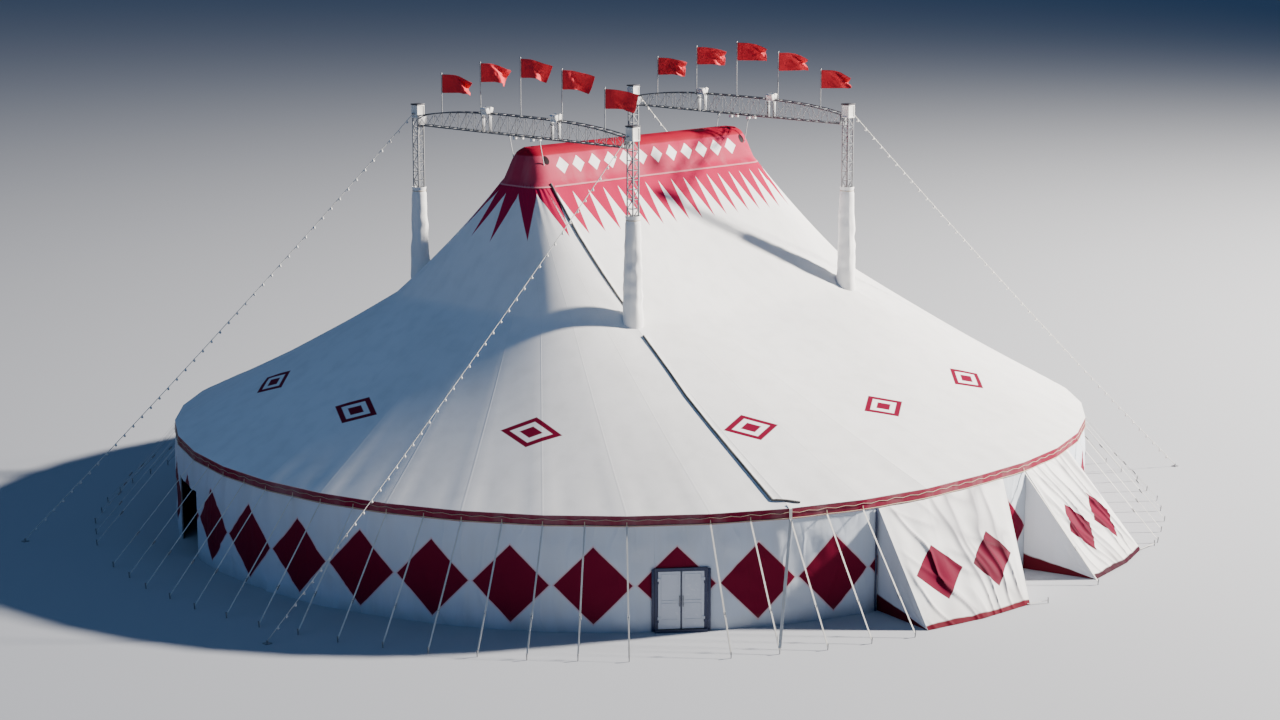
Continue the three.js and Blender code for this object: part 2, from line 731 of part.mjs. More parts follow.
const bands = [['front', -3, 4], ['right', 4, 17], ['back', 17, 24], ['left', 24, 37]];
for (const [name, from, to] of bands) {
  const strip = ringStrip(from + seamGap, to - seamGap, eaveRadius, bandInner, bandBottom, clothTop);
  add(`eave_band_${name}`, strip, red);
}

// The walls beside a porch run in behind its sides by a small lap, and stop just short of the door
const lap = 0.01;
const doorReach = doorHalf + 0.0006;
const walls = [
  ['front_left', -8, doorStation - doorReach, 0],
  ['over_door', doorStation - doorHalf, doorStation + doorHalf, door.height + gap],
  ['front', doorStation + doorReach, porchOne.top[0] + lap, 0],
  ['between_porches', porchOne.top[1] - lap, porchTwo.top[0] + lap, 0],
  ['right', porchTwo.top[1] - lap, 8.5, 0],
  ['back_right', 8.5, 15, 0],
  ['back', 15, 21.5, 0],
  ['back_left', 21.5, entrance.from, 0],
  ['over_entrance', entrance.from, entrance.to, entrance.height],
  ['left', entrance.to, 32, 0],
];
for (const [name, from, to, bottom] of walls) {
  add(`wall_${name}`, wallSection(from, to, bottom), white);
}

add('side_poles_front', sidePoles(-9.5, 10.5), steel);
add('side_poles_back', sidePoles(10.5, 30.5), steel);
const guyQuarters = [
  ['front_left', -9.25], ['front_right', 0.75], ['back_right', 10.75], ['back_left', 20.75]];
for (const [name, from] of guyQuarters) {
  add(`side_guys_${name}`, guys(from, from + stations / 4), webbing);
}

add('porch_left', porchGeometry(porchOne), white);
add('porch_right', porchGeometry(porchTwo), white);

tent.add(doorway);
add('door_frame', doorFrameGeometry(), navy, doorway);
add('door_leaf_left', doorLeafGeometry(-1), leafWhite, doorway);
add('door_leaf_right', doorLeafGeometry(1), leafWhite, doorway);

export default tent;
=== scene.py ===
# %% [markdown]
# # A circus big top at half size
# The frame holds the tent's CAD parts at their real places: canopy, walls, masts, trusses, guys
# and doors. This notebook dresses them. Rails, poles, the cupola frame and the door keep their
# CAD mesh and get a finish; cloth, lattices and ropes are modelled again with more detail and
# stand in for the CAD solids.

# %% Load the frame
import math
from bisect import bisect_left
from functools import cache
import bmesh
import bpy
from mathutils import Matrix, Vector, noise


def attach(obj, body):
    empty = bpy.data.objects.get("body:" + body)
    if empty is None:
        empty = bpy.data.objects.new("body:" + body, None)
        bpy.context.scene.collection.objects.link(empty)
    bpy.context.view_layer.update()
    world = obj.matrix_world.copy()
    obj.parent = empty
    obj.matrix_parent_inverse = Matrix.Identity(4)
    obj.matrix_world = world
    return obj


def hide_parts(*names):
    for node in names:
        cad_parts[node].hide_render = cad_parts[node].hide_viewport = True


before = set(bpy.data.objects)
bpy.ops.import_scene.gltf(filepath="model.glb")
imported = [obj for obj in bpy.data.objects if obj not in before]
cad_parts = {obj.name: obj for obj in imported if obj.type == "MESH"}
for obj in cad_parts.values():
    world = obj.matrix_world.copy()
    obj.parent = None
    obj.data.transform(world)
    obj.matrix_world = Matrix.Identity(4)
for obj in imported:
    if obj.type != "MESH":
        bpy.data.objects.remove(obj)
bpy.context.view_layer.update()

M = 0.5        # model metres for one metre of the real tent
GAP = 0.0003   # between pieces that touch

# %% [markdown]
# ## Camera
# The tent is seen from high up and far away, from its front left. A long lens from that same
# direction keeps the photograph's proportions: near and far stakes look almost the same size.

# %% Camera
def link(name, data):
    """A new object for some data, in the scene."""
    made = bpy.data.objects.new(name, data)
    bpy.context.collection.objects.link(made)
    return made


def aim(thing, place, target):
    thing.location = place
    thing.rotation_euler = (Vector(target) - Vector(place)).to_track_quat("-Z", "Y").to_euler()


camera_data = bpy.data.cameras.new("camera")
camera_data.lens = 73
camera_data.sensor_width = 36
camera = link("camera", camera_data)
aim(camera, (-37.36, -37.43, 13.34), (0.2, 0.0, 3.0))
bpy.context.scene.camera = camera
print("camera stands at", [round(v, 2) for v in camera.location])

# %% [markdown]
# ## Floor and light
# A plain pale floor and three soft area lights make a studio. The main light stands where the
# low sun is in the photograph, to the right of the camera, so the left flank falls in shade.

# %% Floor and light
def pick_none():
    """Leaves edit mode with nothing selected, so the next operator touches only its own piece."""
    if bpy.context.object and bpy.context.object.mode != "OBJECT":
        bpy.ops.object.mode_set(mode="OBJECT")
    bpy.ops.object.select_all(action="DESELECT")


def add_piece(primitive, **settings):
    """Adds one primitive and puts its place into its mesh; the object sits at the origin."""
    pick_none()
    primitive(**settings)
    bpy.ops.object.transform_apply(location=True, rotation=True, scale=True)
    return bpy.context.object


def soft_light(name, place, target, size, watts, colour):
    data = bpy.data.lights.new(name, "AREA")
    data.shape = "DISK"
    data.size = size
    data.energy = watts
    data.color = colour
    aim(link(name, data), place, target)


floor = add_piece(bpy.ops.mesh.primitive_plane_add, size=400)
floor.name = "studio_floor"
floor_paint = bpy.data.materials.new("studio_floor")
floor_paint.use_nodes = True
floor_shader = floor_paint.node_tree.nodes["Principled BSDF"]
floor_shader.inputs["Base Color"].default_value = (0.385, 0.40, 0.425, 1)
floor_shader.inputs["Roughness"].default_value = 0.9
floor.data.materials.append(floor_paint)

soft_light("sun_side", (60, -40, 37), (0, 0, 2), 5, 350000, (1.0, 0.93, 0.85))
soft_light("sky_fill", (-36, -6, 30), (0, 0, 3), 34, 1500, (0.26, 0.54, 1.0))
soft_light("top_glow", (0, 6, 40), (0, 0, 0), 40, 700, (0.32, 0.58, 1.0))
world = bpy.data.worlds.new("studio")
world.use_nodes = True
sky = world.node_tree.nodes["Background"].inputs
sky["Color"].default_value = (0.24, 0.48, 1.0, 1)
sky["Strength"].default_value = 0.19
bpy.context.scene.world = world

# %% [markdown]
# ## Finishes as arithmetic
# A finish is a formula over the surface: where is the paint red, how rough is it, how high is the
# weld. Blender writes such formulas as nodes. A small class wraps a node's output, so Python's
# own + - * / and abs build the nodes and the formula stays readable.

# %% Shader arithmetic
class Sock:
    """One output of a shader node that Python's arithmetic works on."""

    def __init__(self, finish, output):
        self.finish = finish
        self.output = output

    def maths(self, operation, *values, clamp=False):
        settings = {"operation": operation, "use_clamp": clamp}
        return self.finish.node("Math", settings, dict(enumerate(values)))

    def __add__(self, other):
        return self.maths("ADD", self, other)

    def __sub__(self, other):
        return self.maths("SUBTRACT", self, other)

    def __rsub__(self, other):
        return self.maths("SUBTRACT", other, self)

    def __mul__(self, other):
        return self.maths("MULTIPLY", self, other)

    def __truediv__(self, other):
        return self.maths("DIVIDE", self, other)

    def __abs__(self):
        return self.maths("ABSOLUTE", self)

    __radd__ = __add__
    __rmul__ = __mul__

    def from_half(self):
        """For a count of bays: 0 in each bay's middle and 0.5 at its ends."""
        return abs(self.maths("FRACT", self) - 0.5)

    def above(self, edge, soft):
        """0 below the edge and 1 above it, with a soft step between."""
        return self.maths("ADD", (self - edge) / soft, 0.5, clamp=True)

    def below(self, edge, soft):
        return 1 - self.above(edge, soft)


class Finish:
    """A material whose nodes are made by formulas."""

    def __init__(self, name, roughness=0.5, metallic=0.0):
        self.material = bpy.data.materials.new(name)
        self.material.use_nodes = True
        self.tree = self.material.node_tree
        self.set(Roughness=roughness, Metallic=metallic)

    def node(self, kind, settings=None, inputs=None, output=0):
        """Any node: its type, its settings, then the values or links of its sockets."""
        made = self.tree.nodes.new("ShaderNode" + kind)
        for name, value in (settings or {}).items():
            setattr(made, name, value)
        for key, value in (inputs or {}).items():
            self.feed(made.inputs[key], value)
        return Sock(self, made.outputs[output])

    def feed(self, socket, value):
        if isinstance(value, Sock):
            self.tree.links.new(value.output, socket)
        else:
            socket.default_value = value

    def set(self, **sockets):
        for name, value in sockets.items():
            self.feed(self.tree.nodes["Principled BSDF"].inputs[name.replace("_", " ")], value)

    def uv(self, title):
        """Both numbers of one of the piece's own maps."""
        both = self.node("UVMap", {"uv_map": title})
        x = self.node("SeparateXYZ", inputs={0: both}, output="X")
        return x, Sock(self, x.output.node.outputs["Y"])

    def noise(self, scale, detail=3, stretch=(1, 1, 1)):
        """Clouds on object coordinates, stretched for streaks."""
        place = self.node("TexCoord", output="Object")
        place = self.node("Mapping", inputs={"Vector": place, "Scale": stretch})
        return self.node("TexNoise", inputs={"Vector": place, "Scale": scale, "Detail": detail})

    def mix(self, share, first, second):
        """A colour between two others; share 1 gives the second."""
        settings = {"data_type": "RGBA", "clamp_factor": True}
        return self.node("Mix", settings, {0: share, 6: first, 7: second}, output=2)

    def bump(self, height, distance):
        self.set(Normal=self.node("Bump", inputs={"Height": height, "Distance": distance}))
        return self.material


def rgb(red, green, blue):
    return (red, green, blue, 1)


print("finish tools ready")

# %% [markdown]
# ## Colours and cloth
# The tent is coated polyester: smooth and nearly dull, with welds where the widths meet and
# grime that runs down with the rain. Each width's own map counts bays round the tent and the way
# from cupola to eave, so welds and patterns follow the cloth and not the world.

# %% Colours
WHITE = rgb(0.83, 0.83, 0.82)
# painted shade: the walls are white cloth, painted a darker, bluer white for the shade they stand
# in
SHADED_WALL_WHITE = rgb(0.60, 0.66, 0.74)
GRIME = rgb(0.52, 0.52, 0.50)
CRIMSON = rgb(0.16, 0.003, 0.024)
BAND_RED = rgb(0.19, 0.005, 0.030)
CAP_RED = rgb(0.38, 0.006, 0.052)
FLAG_RED = rgb(0.66, 0.004, 0.020)
PALE_PINK = rgb(0.70, 0.42, 0.44)
print("white cloth", WHITE[:3], "crimson", CRIMSON[:3])


# %% Cloth finishes: canopy, walls and the plain white of the sleeves
def coated_cloth(name, colour, grime=0.35):
    """Coated cloth: its colour, faint streaks of grime and a fine uneven sheen."""
    finish = Finish(name)
    cloud = finish.noise(0.55, 5)
    streak = finish.noise(3.0, 4, (1, 1, 0.12))
    dirt = (cloud.above(0.56, 0.3) * 0.5 + streak.above(0.58, 0.25) * 0.5) * grime
    finish.colour = finish.mix(dirt, colour, GRIME)
    finish.set(Roughness=0.52 + dirt * 0.3, Specular_IOR_Level=0.05)
    return finish


def woven(finish, colour, relief=0.0, threads=0.25, depth=0.002):
    """Ends a cloth's finish: its colour, and its relief with the fine threads under the coating."""
    finish.set(Base_Color=colour)
    return finish.bump(finish.noise(90, 2) * threads + relief, depth)


LOZENGE_WIDE, LOZENGE_TALL = 1.16, 0.80   # half its width and half its height, in metres


def canopy_finish():
    """White widths with welds, the red sunburst below the cupola and the woven-in lozenges."""
    finish = coated_cloth("canopy_cloth", WHITE)
    station, run = finish.uv("cloth")
    weld_line = (station + 0.5).from_half().below(0.012, 0.014)
    colour = finish.mix(weld_line * 0.09, finish.colour, GRIME)
    spike, fall = finish.uv("sunburst")
    width = (spike + 0.5).from_half() * 2
    colour = finish.mix((fall + width).below(1.0, 0.03), colour, CAP_RED)
    across, along = finish.uv("lozenge")
    reach = abs(across) / LOZENGE_WIDE + abs(along) / LOZENGE_TALL
    rim = reach.above(0.69, 0.05) - reach.above(1.0, 0.05)
    heart = reach.below(0.38, 0.05)
    return woven(finish, finish.mix(rim + heart, colour, CRIMSON), weld_line * 0.5)


DIAMOND_SHIFT = -0.1    # the diamonds stand a tenth of a bay to the right of the bays' middles
DIAMOND_WIDE = 0.472    # half a diamond's width, in bays
DIAMOND_TALL = 1.39     # half its height, in metres
DIAMOND_HEIGHT = 1.69   # how high its middle is


def wall_finish():
    """White walls, their white painted a darker cool grey as painted shade, with one crimson
    diamond to a bay, edged with a thin pale line.
    """
    finish = coated_cloth("wall_cloth", SHADED_WALL_WHITE, 0.45)
    station, height = finish.uv("wall")
    reach = ((station + DIAMOND_SHIFT).from_half() / DIAMOND_WIDE
             + abs(height - DIAMOND_HEIGHT) / DIAMOND_TALL)
    colour = finish.mix(reach.below(1.05, 0.02) * 0.6, finish.colour, PALE_PINK)
    colour = finish.mix(reach.below(1.0, 0.02), colour, CRIMSON)
    splash = height.below(0.25, 0.5) * finish.noise(2.2, 4)
    colour = finish.mix(splash * 0.55, colour, rgb(0.30, 0.27, 0.22))
    wrinkle = abs(finish.noise(2.2, 1, (1, 1, 0.35)) - 0.5).below(0.03, 0.06)
    return woven(finish, colour, wrinkle, 0.075, 0.005)


canopy_cloth = canopy_finish()
wall_cloth = wall_finish()
white_finish = coated_cloth("white_cloth", WHITE)
white_cloth = woven(white_finish, white_finish.colour)
print("cloth finishes:", canopy_cloth.name, wall_cloth.name, white_cloth.name)

# %% [markdown]
# ## The oval plan
# The eave is a circle pulled apart by two metres along +X and shared into 40 equal bays. A
# station is a place on it, counted in bays from the front middle. The walls run straight from
# pole to pole, so a point between two stations lies on their chord.

# %% Points round the eave
EAVE_RADIUS = 18 * M
HALF_STRAIGHT = 1 * M
BAYS = 40
BAY = (2 * math.pi * EAVE_RADIUS + 4 * HALF_STRAIGHT) / BAYS
EAVE_TOP = 4.2 * M
BAND_BOTTOM = 3.8 * M
STAKE_RADIUS = EAVE_RADIUS + 3.3 * M
CANOPY_THICK, CLOTH_THICK = 0.006, 0.003


def oval_point(station, radius, z=0.0):
    turns = math.floor(station / (BAYS / 2) + 0.5)
    along = (station - turns * BAYS / 2) * BAY
    side = 1 if turns % 2 == 0 else -1
    beyond = math.copysign(max(abs(along) - HALF_STRAIGHT, 0), along)
    angle = beyond / EAVE_RADIUS
    x = (along - beyond) + radius * math.sin(angle)
    return Vector((side * x, -side * radius * math.cos(angle), z))


def eave_point(station, radius, z=0.0):
    first = math.floor(station)
    start = oval_point(first, radius, z)
    return start.lerp(oval_point(first + 1, radius, z), station - first)


print("one bay is", round(BAY / M, 2), "m of the real tent")

# %% [markdown]
# ## The canopy's surface
# Three rings carry the canopy: the cupola frame at the top, a soft ring through the feet of the
# four sleeves, and the eave. Along each station the cloth hangs between them in two shallow sags.
# The same formula places every vertex, so cloth, seams and trims all lie on one surface.

# %% Rings and the canopy formula
SEAMS = [-3, 4, 17, 24, 37]   # stations of the four long seams, and the first one again


class Ring:
    """A closed outline that knows how long it is and where the four long seams meet it."""

    def __init__(self, outline):
        self.outline = outline
        self.lengths = [0.0]
        for first, second in zip(outline, outline[1:]):
            self.lengths.append(self.lengths[-1] + (second - first).length)
        self.total = self.lengths[-1]

    def at(self, length):
        wanted = length % self.total
        low = max(bisect_left(self.lengths, wanted) - 1, 0)
        part = (wanted - self.lengths[low]) / (self.lengths[low + 1] - self.lengths[low])
        return self.outline[low].lerp(self.outline[low + 1], part)

    def meet_seams(self, length):
        """The seams stand this far to the left and right of both middles."""
        half = self.total / 2
        self.marks = [-length, length, half - length, half + length, self.total - length]

    def way(self, station):
        """The way along the outline at a station."""
        in_lap = (station - SEAMS[0]) % BAYS + SEAMS[0]
        part = max(bisect_left(SEAMS, in_lap) - 1, 0)
        share = (in_lap - SEAMS[part]) / (SEAMS[part + 1] - SEAMS[part])
        return self.marks[part] + share * (self.marks[part + 1] - self.marks[part])


def rounded_rectangle(half_x, half_y, corner, steps=24):
    """The outline from the front middle, counter-clockwise, with four round corners."""
    in_x, in_y = half_x - corner, half_y - corner
    outline = [Vector((0, -half_y)), Vector((in_x, -half_y))]
    for quarter, (i, j) in enumerate([(1, -1), (1, 1), (-1, 1), (-1, -1)]):
        for step in range(steps + 1):
            angle = (quarter - 1 + step / steps) * math.pi / 2
            outline.append(Vector((i * in_x + corner * math.cos(angle),
                                   j * in_y + corner * math.sin(angle))))
    return Ring(outline + [Vector((0, -half_y))])


def super_ellipse(half_x, half_y, power, steps=360):
    outline = []
    for step in range(steps + 1):
        angle = -math.pi / 2 + step / steps * 2 * math.pi
        x, y = math.cos(angle), math.sin(angle)
        outline.append(Vector((half_x * math.copysign(abs(x) ** (2 / power), x),
                               half_y * math.copysign(abs(y) ** (2 / power), y))))
    return Ring(outline)


MAST = 6.2 * M
CUPOLA_TOP = 14.1 * M
# the mast ring is this high, and by the swing higher at its ends and lower at its middles
MAST_RING_HEIGHT, MAST_RING_SWING = 9.2, 0.3
HIGH_SAG, LOW_SAG = 0.15, 0.08
cupola_ring = rounded_rectangle(6.5 * M, 1.15 * M, 0.75 * M)
mast_ring = super_ellipse(9.6 * M, 6.6 * M, 3.64)
mast_spot = Vector((MAST, -MAST))
nearest = min(range(len(mast_ring.outline)),
              key=lambda i: (mast_ring.outline[i] - mast_spot).length)
cupola_ring.meet_seams(6.05 * M)
mast_ring.meet_seams(mast_ring.lengths[nearest])


def canopy_point(station, run):
    """From the cupola ring (0) over the mast ring (1) to the eave (2)."""
    middle = mast_ring.at(mast_ring.way(station))
    way_round = math.atan2(middle.y, middle.x)
    middle_z = (MAST_RING_HEIGHT + MAST_RING_SWING * math.cos(2 * way_round)) * M
    if run < 1:
        high = cupola_ring.at(cupola_ring.way(station))
        part, start, end, top, bottom, sag = run, high, middle, CUPOLA_TOP, middle_z, HIGH_SAG
    else:
        low = eave_point(station, EAVE_RADIUS).xy
        part, start, end, top, bottom, sag = run - 1, middle, low, middle_z, EAVE_TOP, LOW_SAG
    fall = part + sag * part * (1 - part)
    return Vector((*start.lerp(end, part), top + (bottom - top) * fall))


def eastward(station, run, step=0.05):
    """Along the canopy from a little before a station to a little past it."""
    return canopy_point(station + step, run) - canopy_point(station - step, run)


def canopy_normal(station, run):
    down = canopy_point(station, min(run + 0.02, 2)) - canopy_point(station, max(run - 0.02, 0))
    return down.cross(eastward(station, run)).normalized()


print("front middle falls from", [round(v / M, 2) for v in canopy_point(0.5, 0)],
      "to", [round(v / M, 2) for v in canopy_point(0.5, 2)])

# %% [markdown]
# ## Sheets of cloth
# A sheet starts as a grid primitive. Its vertices are carried one by one to their place on the
# tent, with folds worked into the formula, and a Solidify modifier then gives it thickness. That
# is quicker and truer to a cut panel than draping, because this cloth is pulled tight.

# %% Sheet helpers
def use_only(piece):
    """Makes one piece the only selected and active one."""
    pick_none()
    piece.select_set(True)
    bpy.context.view_layer.objects.active = piece


def apply_modifier(piece, kind, **settings):
    use_only(piece)
    modifier = piece.modifiers.new(kind.lower(), kind)
    for name, value in settings.items():
        setattr(modifier, name, value)
    bpy.ops.object.modifier_apply(modifier=modifier.name)


def edit_faces(piece, *steps, wanted=None):
    """Selects all faces, or the wanted ones, and takes the steps on them in edit mode."""
    use_only(piece)
    bpy.ops.object.mode_set(mode="EDIT")
    bpy.ops.mesh.select_mode(type="FACE")
    bpy.ops.mesh.select_all(action="DESELECT" if wanted else "SELECT")
    bpy.ops.object.mode_set(mode="OBJECT")
    if wanted:
        for face in piece.data.polygons:
            face.select = wanted(face)
    bpy.ops.object.mode_set(mode="EDIT")
    for step in steps:
        step()
    bpy.ops.object.mode_set(mode="OBJECT")
    return piece


def waver(x, y, z):
    """Smooth hills and hollows between -1 and 1, the same in every run."""
    return noise.noise(Vector((x, y, z)))


def merge(piece, distance):
    """Closes a grid where its ends meet, or where it is drawn together in a corner."""
    edit_faces(piece, lambda: bpy.ops.mesh.remove_doubles(threshold=distance))


def cloth_grid(name, columns, rows, place, maps):
    """A grid carried to place(across, up), each 0 to 1, with its own maps for patterns."""
    piece = add_piece(bpy.ops.mesh.primitive_grid_add, x_subdivisions=columns,
                      y_subdivisions=rows, size=1)
    mesh = piece.data
    piece.name = mesh.name = name
    shares = [(vertex.co.x + 0.5, vertex.co.y + 0.5) for vertex in mesh.vertices]
    for vertex, share in zip(mesh.vertices, shares):
        vertex.co = place(*share)
    while mesh.uv_layers:
        mesh.uv_layers.remove(mesh.uv_layers[0])
    for title, formula in maps.items():
        layer = mesh.uv_layers.new(name=title)
        for face in mesh.polygons:
            corners = [shares[i] for i in face.vertices]
            middle = [sum(c[k] for c in corners) / len(corners) for k in (0, 1)]
            for loop, corner in zip(face.loop_indices, corners):
                layer.data[loop].uv = formula(corner, middle)
    bpy.ops.object.shade_smooth()
    return piece


def paint(piece, material, angle):
    """One material over the whole piece, and smooth shading up to an angle."""
    use_only(piece)
    bpy.ops.object.shade_smooth_by_angle(angle=math.radians(angle))
    piece.data.materials.clear()
    piece.data.materials.append(material)


def finish_sheet(piece, material, thick, flat, rests_on, nodes):
    """Thickness, finish and body of one sheet; its cut size is worked out but not kept."""
    area = sum(face.area for face in piece.data.polygons)
    apply_modifier(piece, "SOLIDIFY", thickness=thick, offset=-1, use_even_offset=True)
    paint(piece, material, 50)
    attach(piece, "tent")
    if nodes:
        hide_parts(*nodes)
    width = max(flat[0], area / flat[1])
    min(area, width * flat[1])
    print(piece.name, len(piece.data.polygons), "faces,", round(area, 2), "m2")


print("sheet helpers ready")

# %% [markdown]
# ## Canopy
# Six widths reach from the cupola to the eave. They meet along long seams, and at each mast the
# cloth opens round a sleeve. Folds fan out from the sleeves and from the eave where the guys
# pull. The lozenges and the sunburst are maps on the sheet, measured in metres on the cloth.

# %% Folds of the canopy
CANOPY_RUN = 8.6   # a width's length from the cupola to the eave, in model metres
SLEEVE_BOTTOM, SLEEVE_TOP = 8.5 * M, 13.3 * M
SLEEVE_FOOT, SLEEVE_HEAD = 0.42, 0.29   # radii in metres of the real tent
mast_places = {"front_left": (-MAST, -MAST), "front_right": (MAST, -MAST),
               "back_right": (MAST, MAST), "back_left": (-MAST, MAST)}


def sleeve_radius(z):
    share = (z - SLEEVE_BOTTOM) / (SLEEVE_TOP - SLEEVE_BOTTOM)
    return (SLEEVE_FOOT + (SLEEVE_HEAD - SLEEVE_FOOT) * share) * M


def canopy_folds(station, run, point):
    """Height of the folds above the smooth surface, in model metres."""
    height = 0.0
    for x, y in mast_places.values():
        away = point.xy - Vector((x, y))
        near = math.exp(-away.length / (0.75 * M))
        height += 0.05 * M * near * math.cos(9 * math.atan2(away.y, away.x) + x * 3)
    edge = math.exp((run - 2) * 9) * (1 - math.exp((run - 2) * 60))
    height += 0.035 * M * edge * math.cos(4 * math.pi * station)
    top = math.exp(-run * 7) * (1 - math.exp(-run * 50))
    height += 0.03 * M * top * math.cos(2 * math.pi * station * 1.4)
    slow = waver(point.x * 0.35, point.y * 0.35, 3.0)
    return height + 0.05 * M * slow * math.sin(math.pi * max(min(run, 2 - run), 0))


def on_canopy(station, run, lift=0.0):
    """A point of the folded cloth, kept out of the sleeves; lift is above the sheet."""
    point = canopy_point(station, run)
    for x, y in mast_places.values():
        away = point.xy - Vector((x, y))
        hole = sleeve_radius(point.z) + 0.001
        if away.length < hole:
            if away.length < 1e-4:
                away = Vector((math.copysign(1, x), math.copysign(1, y)))
            point.xy = Vector((x, y)) + away.normalized() * hole
    point.z += canopy_folds(station, run, point)
    if lift:
        point += canopy_normal(station, run) * lift
    return point


print("sleeves are", round(2 * sleeve_radius(SLEEVE_BOTTOM) / M, 2), "m wide at their feet")

# %% Lozenges and the sunburst
LOZENGE_RUN = 1.585
lozenge_stations = [-12.76, -9.7, -6.18, -2.5, 0.24, 2.84]
SPIKES = 22        # red spikes to half of the cupola's outline
NARROWING = 0.5    # how much narrower they get towards its right end
VALLEY, TIP = 0.55, 2.65

lozenges = []
for station in lozenge_stations + [s + BAYS / 2 for s in lozenge_stations]:
    east = eastward(station, LOZENGE_RUN, 0.1)
    up = canopy_normal(station, LOZENGE_RUN).cross(east)
    lozenges.append((canopy_point(station, LOZENGE_RUN), east.normalized(), up.normalized()))


def lozenge_map(place, middle):
    """Metres east and up from the nearest lozenge's centre."""
    centre, east, up = min(lozenges, key=lambda form: (form[0] - middle).length)
    return (place - centre).dot(east) / M, (place - centre).dot(up) / M


def spike_count(station):
    """Spikes counted round an outline that lies a tenth of the way down to the mast ring."""
    rings = ((cupola_ring, 0.9), (mast_ring, 0.1))
    length = sum(part * ring.way(station) for ring, part in rings)
    half = sum(part * ring.total for ring, part in rings) / 2
    turns = math.floor(length / half + 0.5)
    way = length / half - turns
    first, last = (math.log(1 + side * NARROWING / 2) for side in (1, -1))
    return (turns + (first - math.log(1 - way * NARROWING)) / (first - last)) * SPIKES


def sunburst_map(station, run):
    """The spike's number, and the way from a valley (0) to a spike's tip (1)."""
    start = canopy_point(station, 0)
    down = (start - canopy_point(station, run)).length / M
    valley_run = VALLEY * M / (start - canopy_point(station, 1)).length
    spread = max(eastward(station, run).length / eastward(station, valley_run).length, 1)
    return spike_count(station), 1 - (TIP - down) / (TIP - VALLEY) / spread


def canopy_maps(spot):
    """All three maps of a sheet on the canopy; spot turns its shares into station and run."""
    return {"cloth": lambda share, middle: spot(share),
            "sunburst": lambda share, middle: sunburst_map(*spot(share)),
            "lozenge": lambda share, middle: lozenge_map(
                canopy_point(*spot(share)), canopy_point(*spot(middle)))}


print(len(lozenges), "lozenges and", 2 * SPIKES, "spikes")


# %% Canopy widths
def in_a_sleeve(sheet, face):
    corners = [sheet.data.vertices[i].co.xy for i in face.vertices]
    reach = sleeve_radius(face.center.z) + 0.002
    return any(all((corner - Vector(place)).length < reach for corner in corners)
               for place in mast_places.values())


canopy_spans = {"canopy_front_left": (-3, -1), "canopy_front_right": (-1, 4),
                "canopy_right": (4, 17), "canopy_back_right": (17, 19),
                "canopy_back_left": (19, 24), "canopy_left": (24, 37)}
for node, (first, last) in canopy_spans.items():
    bays = last - first
    spot = lambda share: (first + bays * share[0], 2 * (1 - share[1]))
    width = cloth_grid(node + "_cloth", bays * 6, 56, lambda u, v: on_canopy(*spot((u, v))),
                       canopy_maps(spot))
    edit_faces(width, lambda: bpy.ops.mesh.delete(type="FACE"),
               wanted=lambda face: in_a_sleeve(width, face))
    finish_sheet(width, canopy_cloth, CANOPY_THICK, (bays * BAY, CANOPY_RUN),
                 ["cupola_frame", "side_poles_front"], [node])

# %% [markdown]
# ## Cupola cap
# A red fabric cap is pulled over the hung frame: steep sides, a rounded shoulder, a nearly flat
# top. One sheet wraps round the frame and closes along a ridge line, where both sides of the grid
# are merged. The band of plain white diamonds and the darker shoulder are part of its map.

# %% Cap finish
CAP_DIAMOND = 0.88   # from one white diamond to the next
END = 9              # the map's count on the round ends, where no diamonds are


def cap_finish():
    finish = coated_cloth("cap_cloth", CAP_RED, 0.2)
    along, height = finish.uv("cap")
    colour = finish.mix(height.above(0.98, 0.05), finish.colour, rgb(0.26, 0.005, 0.022))
    row = abs(along).below(6 * CAP_DIAMOND, 0.01)
    reach = (along / CAP_DIAMOND).from_half() / 0.38 + abs(height - 0.56) / 0.32
    colour = finish.mix(reach.below(1.0, 0.06) * row, colour, rgb(0.80, 0.78, 0.78))
    colour = finish.mix(height.below(-0.15, 0.02) * 0.4, colour, PALE_PINK)
    # an oval hole near both ends of each long side, painted near-black on the whole cloth as
    # painted shade
    side, rise = abs(abs(along) - 5.62) / 0.15, (height - 0.80) / 0.17
    hole = (side * side + rise * rise).below(1.0, 0.3)
    colour = finish.mix(hole, colour, rgb(0.012, 0.003, 0.006))
    finish.set(Specular_IOR_Level=0.03)
    return woven(finish, colour)


# %% Cap form and cloth
CAP_BASE = CUPOLA_TOP + GAP
SKIRT, SHOULDER = 0.2, 1.25
CLIMB = 0.75         # the share of the sheet that goes up the side; the rest goes in to the ridge
# height, half length, half width and corner, in metres of the real tent
cap_forms = [(-SKIRT, 6.63, 1.37, 0.9), (0.0, 6.5, 1.15, 0.75), (0.8, 6.3, 0.82, 0.62),
             (1.1, 6.15, 0.62, 0.5), (SHOULDER, 5.9, 0.36, 0.3)]


@cache
def cap_ring(height):
    """The cap's outline at a height; each is worked out once."""
    low, high = next(pair for pair in zip(cap_forms, cap_forms[1:]) if height <= pair[1][0])
    share = (height - low[0]) / (high[0] - low[0])
    return rounded_rectangle(*[(a + (b - a) * share) * M for a, b in zip(low[1:], high[1:])])


def cap_place(across, up):
    climb, inward = min(up / CLIMB, 1), max(up - CLIMB, 0) / (1 - CLIMB)
    height = min((SHOULDER + SKIRT) * (1 - (1 - climb) ** 1.25) - SKIRT, SHOULDER)
    ring = cap_ring(height)
    flat = ring.at(across * ring.total)
    rib = math.sin(math.pi * 12 * (flat.x / (6.5 * M) + 1) / 2) ** 2
    sag = 0.035 * M * rib * math.sin(math.pi * climb)
    if inward:
        flat = flat.lerp(Vector((max(min(flat.x, 5.6 * M), -5.6 * M), 0)), inward)
        height += 0.05 * inward - 0.03 * rib * inward
    away = Vector((flat.x / 3.5, flat.y)).normalized() if flat.length > 1e-6 else Vector((0, 1))
    return Vector((*(flat - away * sag), CAP_BASE + height * M))


def cap_map(share, middle):
    """Metres along the two long sides, and metres above the frame."""
    place = cap_place(*share) / M
    straight = abs(place.x) < 6 and abs(place.y) > 0.5
    return (place.x if straight else END), place.z - CAP_BASE / M


